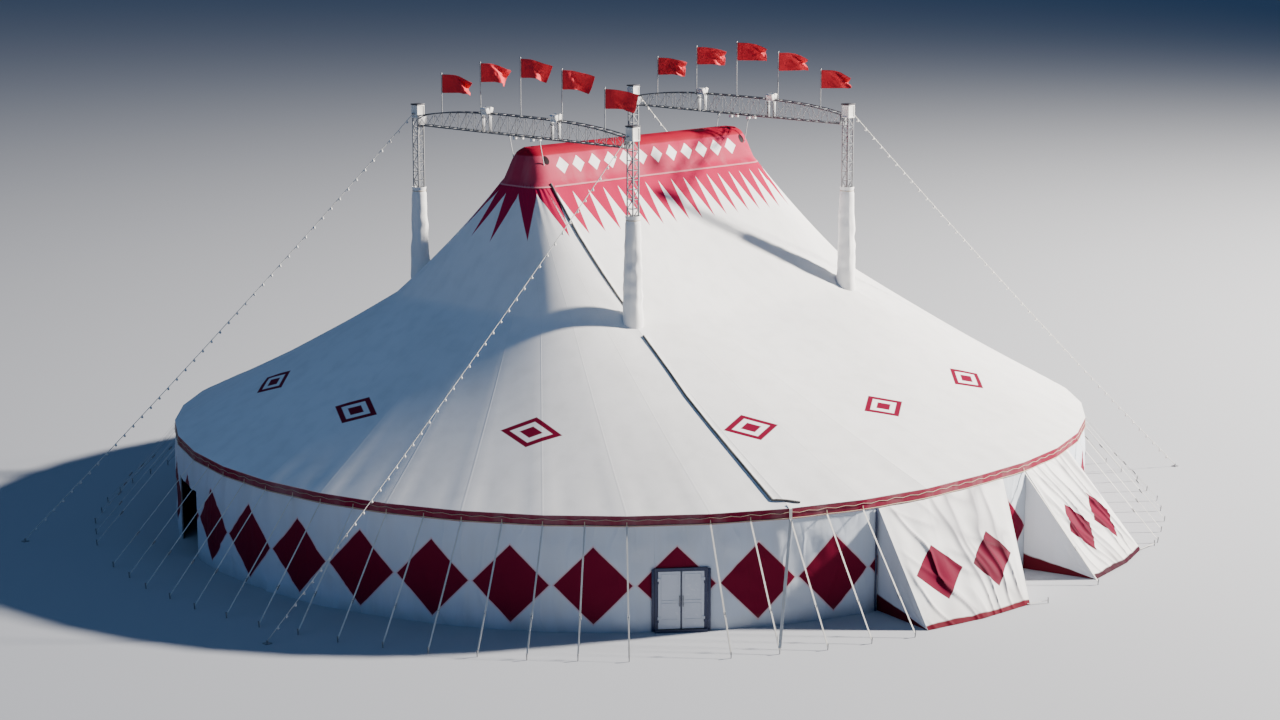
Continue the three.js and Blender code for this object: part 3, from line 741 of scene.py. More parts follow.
cap = cloth_grid("cupola_cap_cloth", 192, 20, cap_place, {"cap": cap_map})
layer = cap.data.uv_layers["cap"].data
for face in cap.data.polygons:
    if max(layer[i].uv.x for i in face.loop_indices) > END - 1:
        for i in face.loop_indices:
            layer[i].uv.x = END
merge(cap, 0.0008)
finish_sheet(cap, cap_finish(), CANOPY_THICK, (6.9, 4.3), ["cupola_frame"],
             ["cupola_cap"])

# %% [markdown]
# ## Mast sleeves
# Each mast passes through the canopy in a tall sleeve that is tied tight at its head and ends on
# the canopy at its foot. A grid is rolled round the mast and merged; slack rings and long folds
# move it in and out, and a narrow neck is drawn in where it is tied.

# %% Sleeves
def sleeve_place(x, y, across, up, seed):
    """Round the mast and up it, with crumples that die out at the tied head."""
    angle = across * 2 * math.pi
    east, north = math.cos(angle), math.sin(angle)
    z = SLEEVE_BOTTOM + (SLEEVE_TOP - SLEEVE_BOTTOM) * (0.02 + 0.98 * up)
    slack = math.sin(math.pi * min(up * 1.05, 1)) * 0.05 * M
    ring = waver(east * 0.8, north * 0.8, z * 5.5 + seed)
    fold = waver(east * 2.5, north * 2.5, z * 1.2 + seed * 2)
    neck = 0.035 * M * math.exp(-((up - 0.965) / 0.012) ** 2)
    radius = max(sleeve_radius(z) + slack * (ring * 1.1 + fold * 0.7) - neck, 0.262 * M)
    return Vector((x + radius * east, y + radius * north, z))


for index, (name, (x, y)) in enumerate(mast_places.items()):
    sleeve = cloth_grid(f"mast_sleeve_{name}_cloth", 48, 70,
                        lambda u, v: sleeve_place(x, y, u, v, index * 7.3), {})
    merge(sleeve, 0.0004)
    finish_sheet(sleeve, white_cloth, 0.004, (1.35, 2.5),
                 [f"mast_{name}"], [f"mast_sleeve_{name}"])

# %% [markdown]
# ## Eave band
# A crimson valance hides where the walls are laced to the canopy. It is a narrow sheet round the
# eave that bellies out a little between its ties, with pale piping along both edges.

# %% Eave band
CLOTH_TOP = EAVE_TOP - CANOPY_THICK - GAP   # the band and walls end under the canopy


def band_finish():
    finish = coated_cloth("band_cloth", BAND_RED, 0.25)
    station, height = finish.uv("band")
    edge = abs(height - 0.5).above(0.465, 0.02)
    return woven(finish, finish.mix(edge * 0.5, finish.colour, PALE_PINK))


def band_place(station, up):
    """The outer face: pulled in at every half station where a guy is tied."""
    z = BAND_BOTTOM + (CLOTH_TOP - BAND_BOTTOM) * up
    belly = math.sin(2 * math.pi * station) ** 2 * math.sin(math.pi * (0.15 + 0.85 * up))
    pleat = waver(station * 5, up * 1.5, 1.0)
    return eave_point(station, EAVE_RADIUS - 0.0045 + 0.003 * belly + 0.0015 * pleat, z)


band_cloth = band_finish()
for side, first, last in zip(("front", "right", "back", "left"), SEAMS, SEAMS[1:]):
    node, bays = f"eave_band_{side}", last - first
    band = cloth_grid(node + "_cloth", bays * 12, 6,
                      lambda u, v: band_place(first + bays * u, v),
                      {"band": lambda share, middle: (first + bays * share[0], share[1])})
    finish_sheet(band, band_cloth, CLOTH_THICK, (bays * BAY, 0.2), ["canopy_left_cloth"],
                 [node])

# %% [markdown]
# ## Walls
# The wall cloths hang from the eave, a bay wide between two poles. Each bay is pulled into folds:
# steep ones run down from the ties, long slack ones cross the bay. The map counts stations and
# metres above the ground, so the diamonds stay true however the cloth is folded.

# %% Wall cloths
WALL_OUTER = EAVE_RADIUS - 0.010 - GAP
DOOR_STATION = -4.35
door_bay = (eave_point(-4, WALL_OUTER) - eave_point(-5, WALL_OUTER)).length
DOOR_HALF = 1.86 * M / 2 / door_bay
DOOR_HEIGHT = 2.3 * M
ENTRANCE_HEIGHT = 2.6 * M
SLIT = 0.0006   # beside the cloth over the door, in bays
FOLD_TOP, FOLD_FADE = 3.72 * M, 0.6 * M   # no folds above, and full folds this far below it


def crease(x, y, seed):
    """0 in the slack between creases, rising sharply to 1 along a few wandering lines."""
    return max(1 - 2.6 * abs(waver(x, y, seed)), 0) ** 1.6


def wall_folds(station, z, firm):
    """How far the cloth stands out from its straight line; none at the eave or a firm edge."""
    free = min(max(FOLD_TOP - z, 0) / FOLD_FADE, 1) * min(firm / 0.2, 1)
    steep = crease(station * 3.1 + z * 0.5, z * 0.55, 2.0)
    slant = crease(station * 1.7 + z * 1.5, z * 0.9 - station * 0.5, 7.0)
    cross = crease(station * 1.5 - z * 1.7, z * 0.8, 13.0)
    belly = math.sin(math.pi * (station - math.floor(station))) * (1 - z / CLOTH_TOP)
    return free * (0.004 + 0.020 * steep + 0.024 * slant + 0.014 * cross + 0.014 * belly)


def wall_place(first, last, bottom, across, up):
    station = first + (last - first) * across
    z = max(bottom + (CLOTH_TOP - bottom) * up, 0.0007)   # the hem clears the floor
    out = wall_folds(station, z, min(station - first, last - station))
    return eave_point(station, WALL_OUTER + max(out, -0.001) - 0.004, z)


wall_spans = {
    "wall_front_left": (-8, DOOR_STATION - DOOR_HALF - SLIT, 0),
    "wall_over_door": (DOOR_STATION - DOOR_HALF, DOOR_STATION + DOOR_HALF, DOOR_HEIGHT + GAP),
    "wall_front": (DOOR_STATION + DOOR_HALF + SLIT, -1.74, 0),
    "wall_between_porches": (0.54, 1.09, 0),
    "wall_right": (2.53, 8.5, 0),
    "wall_back_right": (8.5, 15, 0),
    "wall_back": (15, 21.5, 0),
    "wall_back_left": (21.5, 27, 0),
    "wall_over_entrance": (27, 28, ENTRANCE_HEIGHT),
    "wall_left": (28, 32, 0),
}
for node, (first, last, bottom) in wall_spans.items():
    bays, tall = last - first, CLOTH_TOP - bottom
    wall = cloth_grid(node + "_cloth", max(round(bays * 16), 10), 10 if bottom else 22,
                      lambda u, v: wall_place(first, last, bottom, u, v),
                      {"wall": lambda share, middle: (first + bays * share[0],
                                                      (bottom + tall * share[1]) / M)})
    finish_sheet(wall, wall_cloth, CLOTH_THICK, (bays * BAY, tall),
                 ["side_poles_front", "side_poles_back"], [node])

# %% [markdown]
# ## Porches
# Beside the door two lengths of wall cloth are drawn out to the ground, which makes two tents
# against the wall, open to the inside. Each is three sheets: a long sloping one with two diamonds
# and strong folds along its pull, and a plain triangle at either side. A dark red hem runs along
# their feet.

# %% Porch cloth
def porch_finish(name, hem_red_and_shade):
    finish = coated_cloth(name, WHITE, 0.5)
    across, up = finish.uv("porch")
    # painted shade: the cloth and its diamonds are darkened along the creases, where shade falls in
    # the folds
    crease_shade = finish.uv("fold")[0].above(0.5, 0.8)
    colour = finish.mix(crease_shade * 0.6, finish.colour, rgb(0.22, 0.21, 0.24))
    red = finish.mix(crease_shade * 0.8, rgb(0.14, 0.003, 0.024), rgb(0.04, 0.001, 0.008))
    for middle in (0.26, 0.73):
        reach = abs(across - middle) / 0.19 + abs(up - 0.42) / 0.22
        colour = finish.mix(reach.below(1.0, 0.03), colour, red)
    mud = up.below(0.14, 0.25) * finish.noise(2.4, 4) * 0.5
    colour = finish.mix(mud, colour, rgb(0.32, 0.28, 0.24))
    hem = (up - finish.noise(1.6, 2) * 0.05).below(0.012, 0.01)
    finish.set(Specular_IOR_Level=0.02)
    return woven(finish, finish.mix(hem, colour, hem_red_and_shade))


def side_finish():
    # painted shade: the sides are white cloth, painted a cool grey for the shade on them
    finish = coated_cloth("porch_side_cloth", rgb(0.66, 0.68, 0.72), 0.5)
    across, up = finish.uv("porch")
    hem = (up + finish.noise(1.4, 2) * 0.06).below(0.19, 0.02)
    return woven(finish, finish.mix(hem, finish.colour, rgb(0.10, 0.006, 0.014)))


side_cloth = side_finish()
print("porch side cloth:", side_cloth.name)

# %% Porch forms
PORCH_TOP = BAND_BOTTOM - GAP
PORCH_DEPTH = 2.95 * M
# each porch's stations at the wall and on the ground, and those of its tie, with the hem's red; the
# right porch's hem is painted darker than the left one's as painted shade
porches = {
    "porch_left": {"top": (-1.75, 0.55), "foot": (-1.75, -0.18), "tie": (-0.23, 0.0),
                   "hem": rgb(0.10, 0.002, 0.012)},
    "porch_right": {"top": (1.08, 2.54), "foot": (1.17, 2.63), "tie": (2.58, 2.85),
                    "hem": rgb(0.03, 0.002, 0.009)},
}


def porch_line(form, share, edge):
    """One end of the porch's rise: 'top' at the wall or 'foot' on the ground."""
    first, last = form[edge]
    station = first + (last - first) * share
    if edge == "top":
        return eave_point(station, WALL_OUTER + GAP, PORCH_TOP)
    return eave_point(station, EAVE_RADIUS + PORCH_DEPTH, 0.004)


def porch_creases(form, across, up):
    """How sharp the cloth is creased here, from none (0) to a hard fold (1 and more)."""
    pull = across * 7 + up * 2.4 + 0.5 * waver(across * 2, up * 3, 4)
    long_way = crease(pull, up * 0.8, form["top"][0] + 3.0) ** 2
    short_way = crease(across * 4 + up * 3, up * 2, 8.0) ** 2
    return min(min(across, 1 - across) / 0.10, 1) * (long_way + 0.5 * short_way)


def porch_top_place(form, across, up):
    """The sloping sheet, with folds that run from the eave to the pegged foot."""
    high, low = porch_line(form, across, "top"), porch_line(form, across, "foot")
    along_wall = (porch_line(form, min(across + 0.1, 1), "top")
                  - porch_line(form, max(across - 0.1, 0), "top"))
    normal = along_wall.cross(high - low).normalized()
    firm = min(min(across, 1 - across) / 0.05, 1)
    firm *= math.sin(math.pi * (0.04 + 0.96 * up) * 0.98) ** 0.5
    wander = waver(across * 3, up * 2, 1)
    fold = 0.018 * math.sin(across * 2 * math.pi * 4.5 + 2.5 * wander)
    crumple = 0.085 * porch_creases(form, across, up)
    sag = 0.05 * math.sin(math.pi * up) * math.sin(math.pi * across)
    return low.lerp(high, up) + normal * (firm * (fold + crumple) - sag) * M


def porch_side_place(form, share, across, up):
    """A triangle from the wall (across 0) to the pegged foot (across 1)."""
    top, foot = porch_line(form, share, "top"), porch_line(form, share, "foot")
    low = Vector((top.x, top.y, 0.002)).lerp(foot, across)
    out = (porch_line(form, 1 - share, "top") - top).normalized()
    middle = math.sin(math.pi * across) * math.sin(math.pi * up)
    fold = waver(across * 3.5, up * 4 + across * 3, share * 9)
    return low.lerp(top.lerp(foot, across), up) + out * middle * (0.036 + 0.06 * fold) * M


for node, form in porches.items():
    sheet = cloth_grid(node + "_top", 150, 64, lambda u, v: porch_top_place(form, u, v),
                       {"porch": lambda share, middle: share,
                        "fold": lambda share, middle: (porch_creases(form, *share), 0)})
    width = (porch_line(form, 1, "top") - porch_line(form, 0, "top")).length
    finish_sheet(sheet, porch_finish(node + "_cloth", form["hem"]), CLOTH_THICK,
                 (width, 2.4), ["eave_band_front_cloth"], [node])
    # the near side runs the other way, so that its outer face points out too
    for side, share in (("near", 0), ("far", 1)):
        flap = cloth_grid(f"{node}_side_{side}", 30, 24,
                          lambda u, v: porch_side_place(form, share, u if share else 1 - u, v),
                          {"porch": lambda share, middle: share})
        merge(flap, 0.0005)
        finish_sheet(flap, side_cloth, CLOTH_THICK, (1.6, 1.95), [node + "_top"], [])

# %% [markdown]
# ## Metal finishes
# Galvanised steel is dull and mottled, with a darker bloom where water stands. Painted parts are
# smoother, with light scuffs. Webbing and rope are ribbed and a little soiled. All of them read
# the object's own coordinates, so neighbouring rods differ a little.

# %% Metal, paint and webbing
def toned(colour, factor, lift=0.0):
    return rgb(*[min(c * factor + lift, 1) for c in colour[:3]])


def steel_finish(name, colour, roughness=0.42):
    finish = Finish(name, metallic=0.85)
    mottle = finish.noise(9, 4)
    bloom = finish.noise(1.3, 3).above(0.55, 0.3)
    low = toned(colour, 0.62)
    tone = finish.mix(mottle.above(0.5, 0.4), colour, low)
    finish.set(Base_Color=finish.mix(bloom * 0.5, tone, low),
               Roughness=roughness + mottle.above(0.5, 0.5) * 0.18)
    return finish.bump(mottle, 0.0008)


def paint_finish(name, colour, wear=0.2):
    finish = Finish(name)
    cloud = finish.noise(2.1, 4).above(0.5, 0.5)
    scuff = finish.noise(14, 5).above(0.64, 0.1) * wear
    tone = finish.mix(cloud * 0.35, colour, toned(colour, 0.8))
    finish.set(Base_Color=finish.mix(scuff, tone, toned(colour, 1.7, 0.08)),
               Roughness=0.4 + scuff * 0.4)
    return finish.bump(finish.noise(40, 2), 0.0004)


def webbing_finish(name, colour):
    finish = Finish(name, roughness=0.8)
    soil = finish.noise(3, 4).above(0.5, 0.4)
    finish.set(Base_Color=finish.mix(soil * 0.45, colour, rgb(0.40, 0.37, 0.31)))
    return finish.bump(finish.noise(160, 2), 0.0008)


galvanised = steel_finish("galvanised_steel", rgb(0.42, 0.43, 0.44))
weathered_steel = steel_finish("weathered_steel", rgb(0.20, 0.21, 0.22), 0.5)
dark_steel = steel_finish("dark_steel", rgb(0.10, 0.10, 0.11), 0.5)
head_paint = paint_finish("head_white_paint", rgb(0.74, 0.73, 0.69))
navy_paint = paint_finish("navy_paint", rgb(0.022, 0.032, 0.085), 0.35)
# painted shade: the leaves are white, painted a cool grey for the shade over the door
leaf_paint = paint_finish("leaf_white_paint", rgb(0.66, 0.69, 0.74))
strap_white = webbing_finish("strap_webbing", rgb(0.72, 0.71, 0.66))
rope_tan = webbing_finish("tan_rope", rgb(0.50, 0.40, 0.27))
rope_dark = webbing_finish("dark_lacing", rgb(0.045, 0.045, 0.05))

# %% [markdown]
# ## Rods, blocks and copies
# Lattice work is hundreds of the same short tube. One cylinder primitive is made, and its mesh is
# copied along every span into one piece. Small fittings are modelled once in edit mode and
# copied to each place in the same way.

# %% Shapes to build with
def cylinder(radius, depth, place=(0, 0, 0), sides=8, turn=(0, 0, 0)):
    return add_piece(bpy.ops.mesh.primitive_cylinder_add, vertices=sides, radius=radius,
                     depth=depth, location=place, rotation=turn)


def block(size, place=(0, 0, 0), bevel=0.002, segments=2):
    """A cube primitive at its size and place with softened edges."""
    piece = add_piece(bpy.ops.mesh.primitive_cube_add, size=1, location=place, scale=size)
    if bevel:
        apply_modifier(piece, "BEVEL", width=bevel, segments=segments)
    return piece


def extrude(x, y, z):
    bpy.ops.mesh.extrude_region_move(TRANSFORM_OT_translate={"value": (x, y, z)})


def soften(piece, width, segments=2):
    apply_modifier(piece, "BEVEL", width=width, segments=segments, limit_method="ANGLE")
    return piece


def join(pieces, name):
    pick_none()
    for piece in pieces:
        piece.select_set(True)
    bpy.context.view_layer.objects.active = pieces[0]
    bpy.ops.object.join()
    pieces[0].name = pieces[0].data.name = name
    return pieces[0]


def moved(*place):
    return Matrix.Translation(place)


def copies(pattern, places, name):
    """The pattern's mesh once for every matrix, gathered in one piece."""
    gathered = bmesh.new()
    for place in places:
        copy = pattern.data.copy()
        copy.transform(place)
        gathered.from_mesh(copy)
        bpy.data.meshes.remove(copy)
    gathered.to_mesh(pattern.data)
    gathered.free()
    pattern.name = pattern.data.name = name
    return pattern


def rods(name, spans, radius, sides=8):
    """One rod along each span, from a cylinder of unit length along Z."""
    places = []
    for start, end in spans:
        turn = (end - start).to_track_quat("Z", "Y").to_matrix().to_4x4()
        stretch = Matrix.Diagonal((1, 1, (end - start).length, 1))
        places.append(moved(*(start + end) / 2) @ turn @ stretch)
    return copies(cylinder(radius, 1, sides=sides), places, name)


def curve_tube(name, points, radius):
    curve = bpy.data.curves.new(name, "CURVE")
    curve.dimensions = "3D"
    curve.bevel_depth = radius
    curve.bevel_resolution = 2
    curve.use_fill_caps = True
    spline = curve.splines.new("POLY")
    spline.points.add(len(points) - 1)
    for spline_point, point in zip(spline.points, points):
        spline_point.co = (*point, 1)
    use_only(link(name, curve))
    bpy.ops.object.convert(target="MESH")
    return bpy.context.object


def dress(piece, finish, name=None, body="tent", nodes=()):
    """Finish, smooth shading by angle and body for a hard piece."""
    piece.name = name or piece.name
    paint(piece, finish, 35)
    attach(piece, body)
    if nodes:
        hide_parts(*nodes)
    print(piece.name, len(piece.data.polygons), "faces")


print("shapes ready")

# %% [markdown]
# ## Masts
# Four square lattice masts carry everything. Each has four tubes joined by rungs and a zigzag of
# thin braces, stands on a bolted base plate, and ends in a painted head block under a dark lid.
# A turn of rope ties the sleeve to it.

# %% Lattice masts
MAST_HALF = 0.15 * M
MAST_FOOT = 0.05 * M
HEAD_BOTTOM, HEAD_TOP = 16.12 * M, 16.7 * M
MAST_CELLS = 44
CORNERS = [(-1, -1), (1, -1), (1, 1), (-1, 1)]


def mast_lattice(x, y):
    """The spans of the four legs, and those of the rungs and braces between them."""
    def at(corner, z):
        i, j = CORNERS[corner % 4]
        return Vector((x + i * MAST_HALF, y + j * MAST_HALF, z))

    legs = [(at(corner, MAST_FOOT / 2), at(corner, HEAD_BOTTOM + 0.1 * M)) for corner in range(4)]
    step = (HEAD_BOTTOM - MAST_FOOT) / MAST_CELLS
    braces = []
    for cell in range(1, MAST_CELLS + 1):
        z = MAST_FOOT + step * cell
        for side in range(4):
            high, low = (side + 1, side) if (cell + side) % 2 else (side, side + 1)
            braces += [(at(side, z), at(side + 1, z)), (at(high, z), at(low, z - step))]
    return legs, braces


def mast_base(name, x, y):
    """A plate with four bolts and gussets, as it stands on the ground."""
    parts = [block((0.88 * M, 0.88 * M, 0.045 * M), (x, y, 0.0225 * M), 0.003)]
    for i, j in CORNERS:
        bolt = (x + i * 0.36 * M, y + j * 0.36 * M, 0.06 * M)
        gusset = (x + i * 0.24 * M, y + j * 0.15 * M, 0.11 * M)
        parts += [cylinder(0.03 * M, 0.04 * M, bolt, 6),
                  block((0.16 * M, 0.016 * M, 0.14 * M), gusset, 0.001)]
    return join(parts, name)


def mast_head(x, y):
    """The head: a box with inset side panels."""
    head = block((0.38 * M, 0.38 * M, HEAD_TOP - HEAD_BOTTOM - 0.06 * M),
                 (x, y, (HEAD_TOP + HEAD_BOTTOM) / 2 - 0.03 * M), 0)
    edit_faces(head, lambda: bpy.ops.mesh.inset(thickness=0.04 * M, use_individual=True),
               lambda: bpy.ops.mesh.inset(thickness=0.012 * M, depth=-0.02 * M,
                                          use_individual=True),
               wanted=lambda face: abs(face.normal.z) < 0.5)
    return soften(head, 0.006 * M)


TIE_HEIGHT = SLEEVE_BOTTOM + (SLEEVE_TOP - SLEEVE_BOTTOM) * 0.966
for name, (x, y) in mast_places.items():
    node = f"mast_{name}"
    legs, braces = mast_lattice(x, y)
    dress(rods(node + "_legs", legs, 0.033 * M, 12), galvanised, nodes=[node])
    dress(rods(node + "_braces", braces, 0.016 * M, 6), galvanised)
    dress(mast_base(node + "_base", x, y), galvanised)
    dress(mast_head(x, y), head_paint)
    lid = block((0.42 * M, 0.42 * M, 0.05 * M), (x, y, HEAD_TOP - 0.025 * M), 0.003)
    dress(lid, dark_steel, node + "_lid")
    tie = add_piece(bpy.ops.mesh.primitive_torus_add, location=(x, y, TIE_HEIGHT),
                    major_radius=0.272 * M, minor_radius=0.016 * M, major_segments=32,
                    minor_segments=8)
    dress(tie, rope_tan, node + "_sleeve_tie")

# %% [markdown]
# ## Gantry trusses
# A curved truss joins the heads of two masts on each side. Its top chord rises towards the middle.
# Flanges split it in three, floodlights stand at the thirds, small spots hang below the middle
# part, and five flag poles stand on top.

# %% Truss lattice
TRUSS_HALF = 0.18 * M
TRUSS_BOTTOM = 15.85 * M
TRUSS_END = MAST - 0.23 * M - GAP
TRUSS_CELLS = 24
FLAG_PLACES = [-4.7 * M, -2.35 * M, 0.0, 2.35 * M, 4.7 * M]
THIRDS = (-TRUSS_END / 3, TRUSS_END / 3)


def truss_top(y):
    return TRUSS_BOTTOM + (0.76 - 0.38 * (abs(y) / TRUSS_END) ** 3) * M


def pole_top(y):
    return truss_top(y) + (2.3 - 0.7 * (abs(y) / FLAG_PLACES[4]) ** 1.3) * M


def truss_lattice(x):
    """The spans of the chords, and those of the posts, braces and cross pieces."""
    step = 2 * (TRUSS_END - 0.02 * M) / TRUSS_CELLS
    places = [-TRUSS_END + 0.02 * M + step * i for i in range(TRUSS_CELLS + 1)]

    def chord(height):
        return {side: [Vector((x + side * TRUSS_HALF, y, height(y))) for y in places]
                for side in (-1, 1)}

    low, high = chord(lambda y: TRUSS_BOTTOM), chord(truss_top)
    chords, braces = [], []
    for side in (-1, 1):
        chords += [(low[side][0], low[side][-1]), *zip(high[side], high[side][1:])]
        braces += zip(low[side], high[side])
    braces += [*zip(low[-1], low[1]), *zip(high[-1], high[1])]
    for i in range(TRUSS_CELLS):
        for side in (-1, 1):
            first, second = (low, high) if i % 2 else (high, low)
            braces.append((first[side][i], second[side][i + 1]))
        side = 1 if i % 2 else -1
        braces += [(chord[-side][i], chord[side][i + 1]) for chord in (low, high)]
    return chords, braces


print("a truss rises to", round(truss_top(0) / M, 2), "m, its poles to", round(pole_top(0) / M, 2))


# %% Flanges, poles and lamps
def truss_flanges(name, x):
    """Pairs of plates where the three lengths are bolted, and the end plates."""
    plates = []
    for y in THIRDS:
        tall = truss_top(y) - TRUSS_BOTTOM + 0.06 * M
        for step in (-0.035 * M, 0.035 * M):
            for side in (-1, 1):
                place = (x + side * TRUSS_HALF, y + step, TRUSS_BOTTOM + tall / 2 - 0.03 * M)
                plates.append(block((0.09 * M, 0.02 * M, tall), place, 0.001))
    for y in (-TRUSS_END + 0.01 * M, TRUSS_END - 0.01 * M):
        place = (x, y, TRUSS_BOTTOM + 0.19 * M)
        plates.append(block((0.44 * M, 0.018 * M, 0.47 * M), place, 0.001))
    return join(plates, name)


def ball(radius, place, segments, rings):
    return add_piece(bpy.ops.mesh.primitive_uv_sphere_add, segments=segments, ring_count=rings,
                     radius=radius, location=place)


def flag_poles(name, x):
    parts = []
    for y in FLAG_PLACES:
        foot, top = truss_top(y) - 0.1 * M, pole_top(y)
        parts += [cylinder(0.021 * M, top - foot, (x, y, (top + foot) / 2), 10),
                  ball(0.034 * M, (x, y, top - 0.02 * M), 12, 8)]
    return join(parts, name)


def floodlight():
    """A lamp housing: a cube with its front inset for the glass and its back drawn in."""
    lamp = block((0.34 * M, 0.16 * M, 0.26 * M), bevel=0)
    for way, inset, depth in ((-1, 0.03 * M, -0.03 * M), (1, 0.06 * M, 0.05 * M)):
        edit_faces(lamp, lambda: bpy.ops.mesh.inset(thickness=inset),
                   lambda: extrude(0, way * depth, 0),
                   wanted=lambda face: face.normal.y * way > 0.9)
    return soften(lamp, 0.004)


def spotlight():
    """A small round spot: a cylinder with its open face drawn in."""
    return edit_faces(cylinder(0.09 * M, 0.12 * M, sides=12),
                      lambda: bpy.ops.mesh.inset(thickness=0.012 * M),
                      lambda: extrude(0, 0, 0.03 * M), wanted=lambda face: face.normal.z < -0.9)


for side_name, x in (("left", -MAST), ("right", MAST)):
    node = f"gantry_truss_{side_name}"
    chords, braces = truss_lattice(x)
    dress(rods(node + "_chords", chords, 0.026 * M, 10), weathered_steel, nodes=[node])
    dress(rods(node + "_braces", braces, 0.012 * M, 6), galvanised)
    dress(truss_flanges(node + "_flanges", x), galvanised)
    dress(flag_poles(node + "_poles", x), galvanised)
    tilt = Matrix.Rotation(math.radians(20), 4, "X")
    floods = [moved(x + facing * 0.20 * M, y + facing * 0.12 * M, truss_top(y) + 0.10 * M)
              @ Matrix.Rotation(math.radians(90 * facing), 4, "Z") @ tilt
              for y in THIRDS for facing in (-1, 1)]
    dress(copies(floodlight(), floods, node + "_floodlights"), head_paint)
    spots = [moved(x + side * TRUSS_HALF, y * M, TRUSS_BOTTOM - 0.09 * M)
             for y in (-0.85, 0.15) for side in (-1, 1)]
    dress(copies(spotlight(), spots, node + "_spots"), head_paint)

# %% [markdown]
# ## Flags
# Ten red flags stream from the trusses, each caught in a different fold. One flag is simulated as
# cloth: a grid pinned along its pole, with wind, some turbulence and its own weight. Ten moments
# of that one flight are kept as ten meshes, so no two flags look alike.

# %% Fly one flag and keep ten moments
FLAG_LONG, FLAG_TALL = 1.3 * M, 0.75 * M
MOMENTS = [26, 33, 41, 48, 56, 63, 71, 78, 86, 93]   # frames of the flight


def wind_field(kind, strength, place, turn=(0, 0, 0), **settings):
    pick_none()
    bpy.ops.object.effector_add(type=kind, location=place, rotation=turn)
    made = bpy.context.object
    for name, value in {"strength": strength, **settings}.items():
        setattr(made.field, name, value)
    return made


def fly(flag):
    """The shape of the flag at each moment; it is left flat, without its simulation."""
    pins = flag.vertex_groups.new(name="hoist")
    pins.add([v.index for v in flag.data.vertices if v.co.x < 0.003], 1.0, "REPLACE")
    fields = [wind_field("WIND", 1500, (-1, 0, 0), (0, math.radians(90), 0), noise=1.5, seed=4),
              wind_field("TURBULENCE", 900, (0, 0.3, 0), size=0.3, seed=9, flow=0.5)]
    use_only(flag)
    modifier = flag.modifiers.new("cloth", "CLOTH")
    settings = {"quality": 6, "mass": 0.05, "air_damping": 1.0, "tension_stiffness": 30,
                "compression_stiffness": 30, "shear_stiffness": 12, "bending_stiffness": 0.05,
                "vertex_group_mass": "hoist"}
    for name, value in settings.items():
        setattr(modifier.settings, name, value)
    modifier.settings.effector_weights.gravity = 0.1
    modifier.point_cache.frame_start = 1
    modifier.point_cache.frame_end = MOMENTS[-1]
    scene = bpy.context.scene
    kept = []
    for frame_number in range(1, MOMENTS[-1] + 1):
        scene.frame_set(frame_number)
        if frame_number in MOMENTS:
            shape = flag.evaluated_get(bpy.context.evaluated_depsgraph_get())
            kept.append([vertex.co.copy() for vertex in shape.data.vertices])
    scene.frame_set(1)
    flag.modifiers.remove(modifier)
    for field in fields:
        bpy.data.objects.remove(field)
    return kept


def flag_finish():
    finish = Finish("flag_cloth", roughness=0.75)
    across, up = finish.uv("flag")
    seam = across.below(0.035, 0.01) + abs(up - 0.5).above(0.475, 0.006)
    deep = rgb(0.44, 0.008, 0.014)
    tone = finish.mix(finish.noise(4, 3).above(0.5, 0.5) * 0.4, FLAG_RED, deep)
    finish.set(Base_Color=finish.mix(seam * 0.5, tone, deep))
    return finish.bump(finish.noise(220, 2), 0.0006)


# the flat flag: hoist on the Z axis, cloth along +X
pattern = cloth_grid("flag_cloth", 30, 18,
                     lambda u, v: Vector((FLAG_LONG * u, 0.004 * math.sin(9 * u),
                                          -FLAG_TALL * (1 - v))),
                     {"flag": lambda share, middle: share})
shapes = fly(pattern)
print("flags reach", [round(max(point.x for point in shape) / M, 2) for shape in shapes], "m")

# %% Hoist the flags
flag_red = flag_finish()
flag_spots = [(side_name, number, x, y) for side_name, x in (("left", -MAST), ("right", MAST))
              for number, y in enumerate(FLAG_PLACES, 1)]
for index, (side_name, number, x, y) in enumerate(flag_spots):
    flag = pattern
    if index < len(flag_spots) - 1:
        flag = link("flag", pattern.data.copy())
    flag.name = f"flag_{side_name}_{number}_cloth"
    turn = Matrix.Rotation(math.radians(-45 + 9 * math.sin(index * 2.4)), 4, "Z")
    hoist = Vector((x, y, pole_top(y) - 0.05 * M)) + turn @ Vector((0.023 * M, 0, 0))
    for vertex, point in zip(flag.data.vertices, shapes[index]):
        vertex.co = hoist + turn @ point
    finish_sheet(flag, flag_red, 0.0012, (FLAG_LONG, FLAG_TALL),
                 [f"gantry_truss_{side_name}_poles"], [f"flag_{side_name}_{number}"])
    apply_modifier(flag, "SUBSURF", levels=1, render_levels=1)

# %% [markdown]
# ## Guys and stakes
# A rope runs round the eave over the band. Every half bay a flat strap is tied to it and runs down
# to a driven stake, with a ratchet at working height. The straps are kept flat: a cube primitive
# is drawn out along the span, so its width always faces the sky.

# %% Straps, ropes and fittings
GUY_HEIGHT = 3.86 * M
ROPE = 0.032 * M
LACING_HEIGHT = 4.08 * M
TIE_RADIUS = EAVE_RADIUS + 0.0005


def strap_matrix(start, end, width, thick):
    """A unit cube becomes a flat strap: long on Z, wide along the eave, thin across."""
    along = (end - start).normalized()
    wide = Vector((0, 0, 1)).cross(along).normalized()
    turn = Matrix((wide, along.cross(wide), along)).transposed().to_4x4()
    stretch = Matrix.Diagonal((width, thick, (end - start).length, 1))
    return moved(*(start + end) / 2) @ turn @ stretch


def straps(name, places):
    return copies(block((1, 1, 1), bevel=0), places, name)


def eave_rope(name, first, height, radius, wave=0.0):
    """A quarter turn of rope on the eave; with a wave it is the lacing that crosses the band."""
    points = []
    for i in range(BAYS * 2 + 1):
        station = first + i / 8
        sag = 0.012 * M * math.sin(2 * math.pi * station) ** 2 + wave * (i % 2)
        points.append(eave_point(station, TIE_RADIUS + radius, height - radius - sag))
    return curve_tube(name, points, radius)


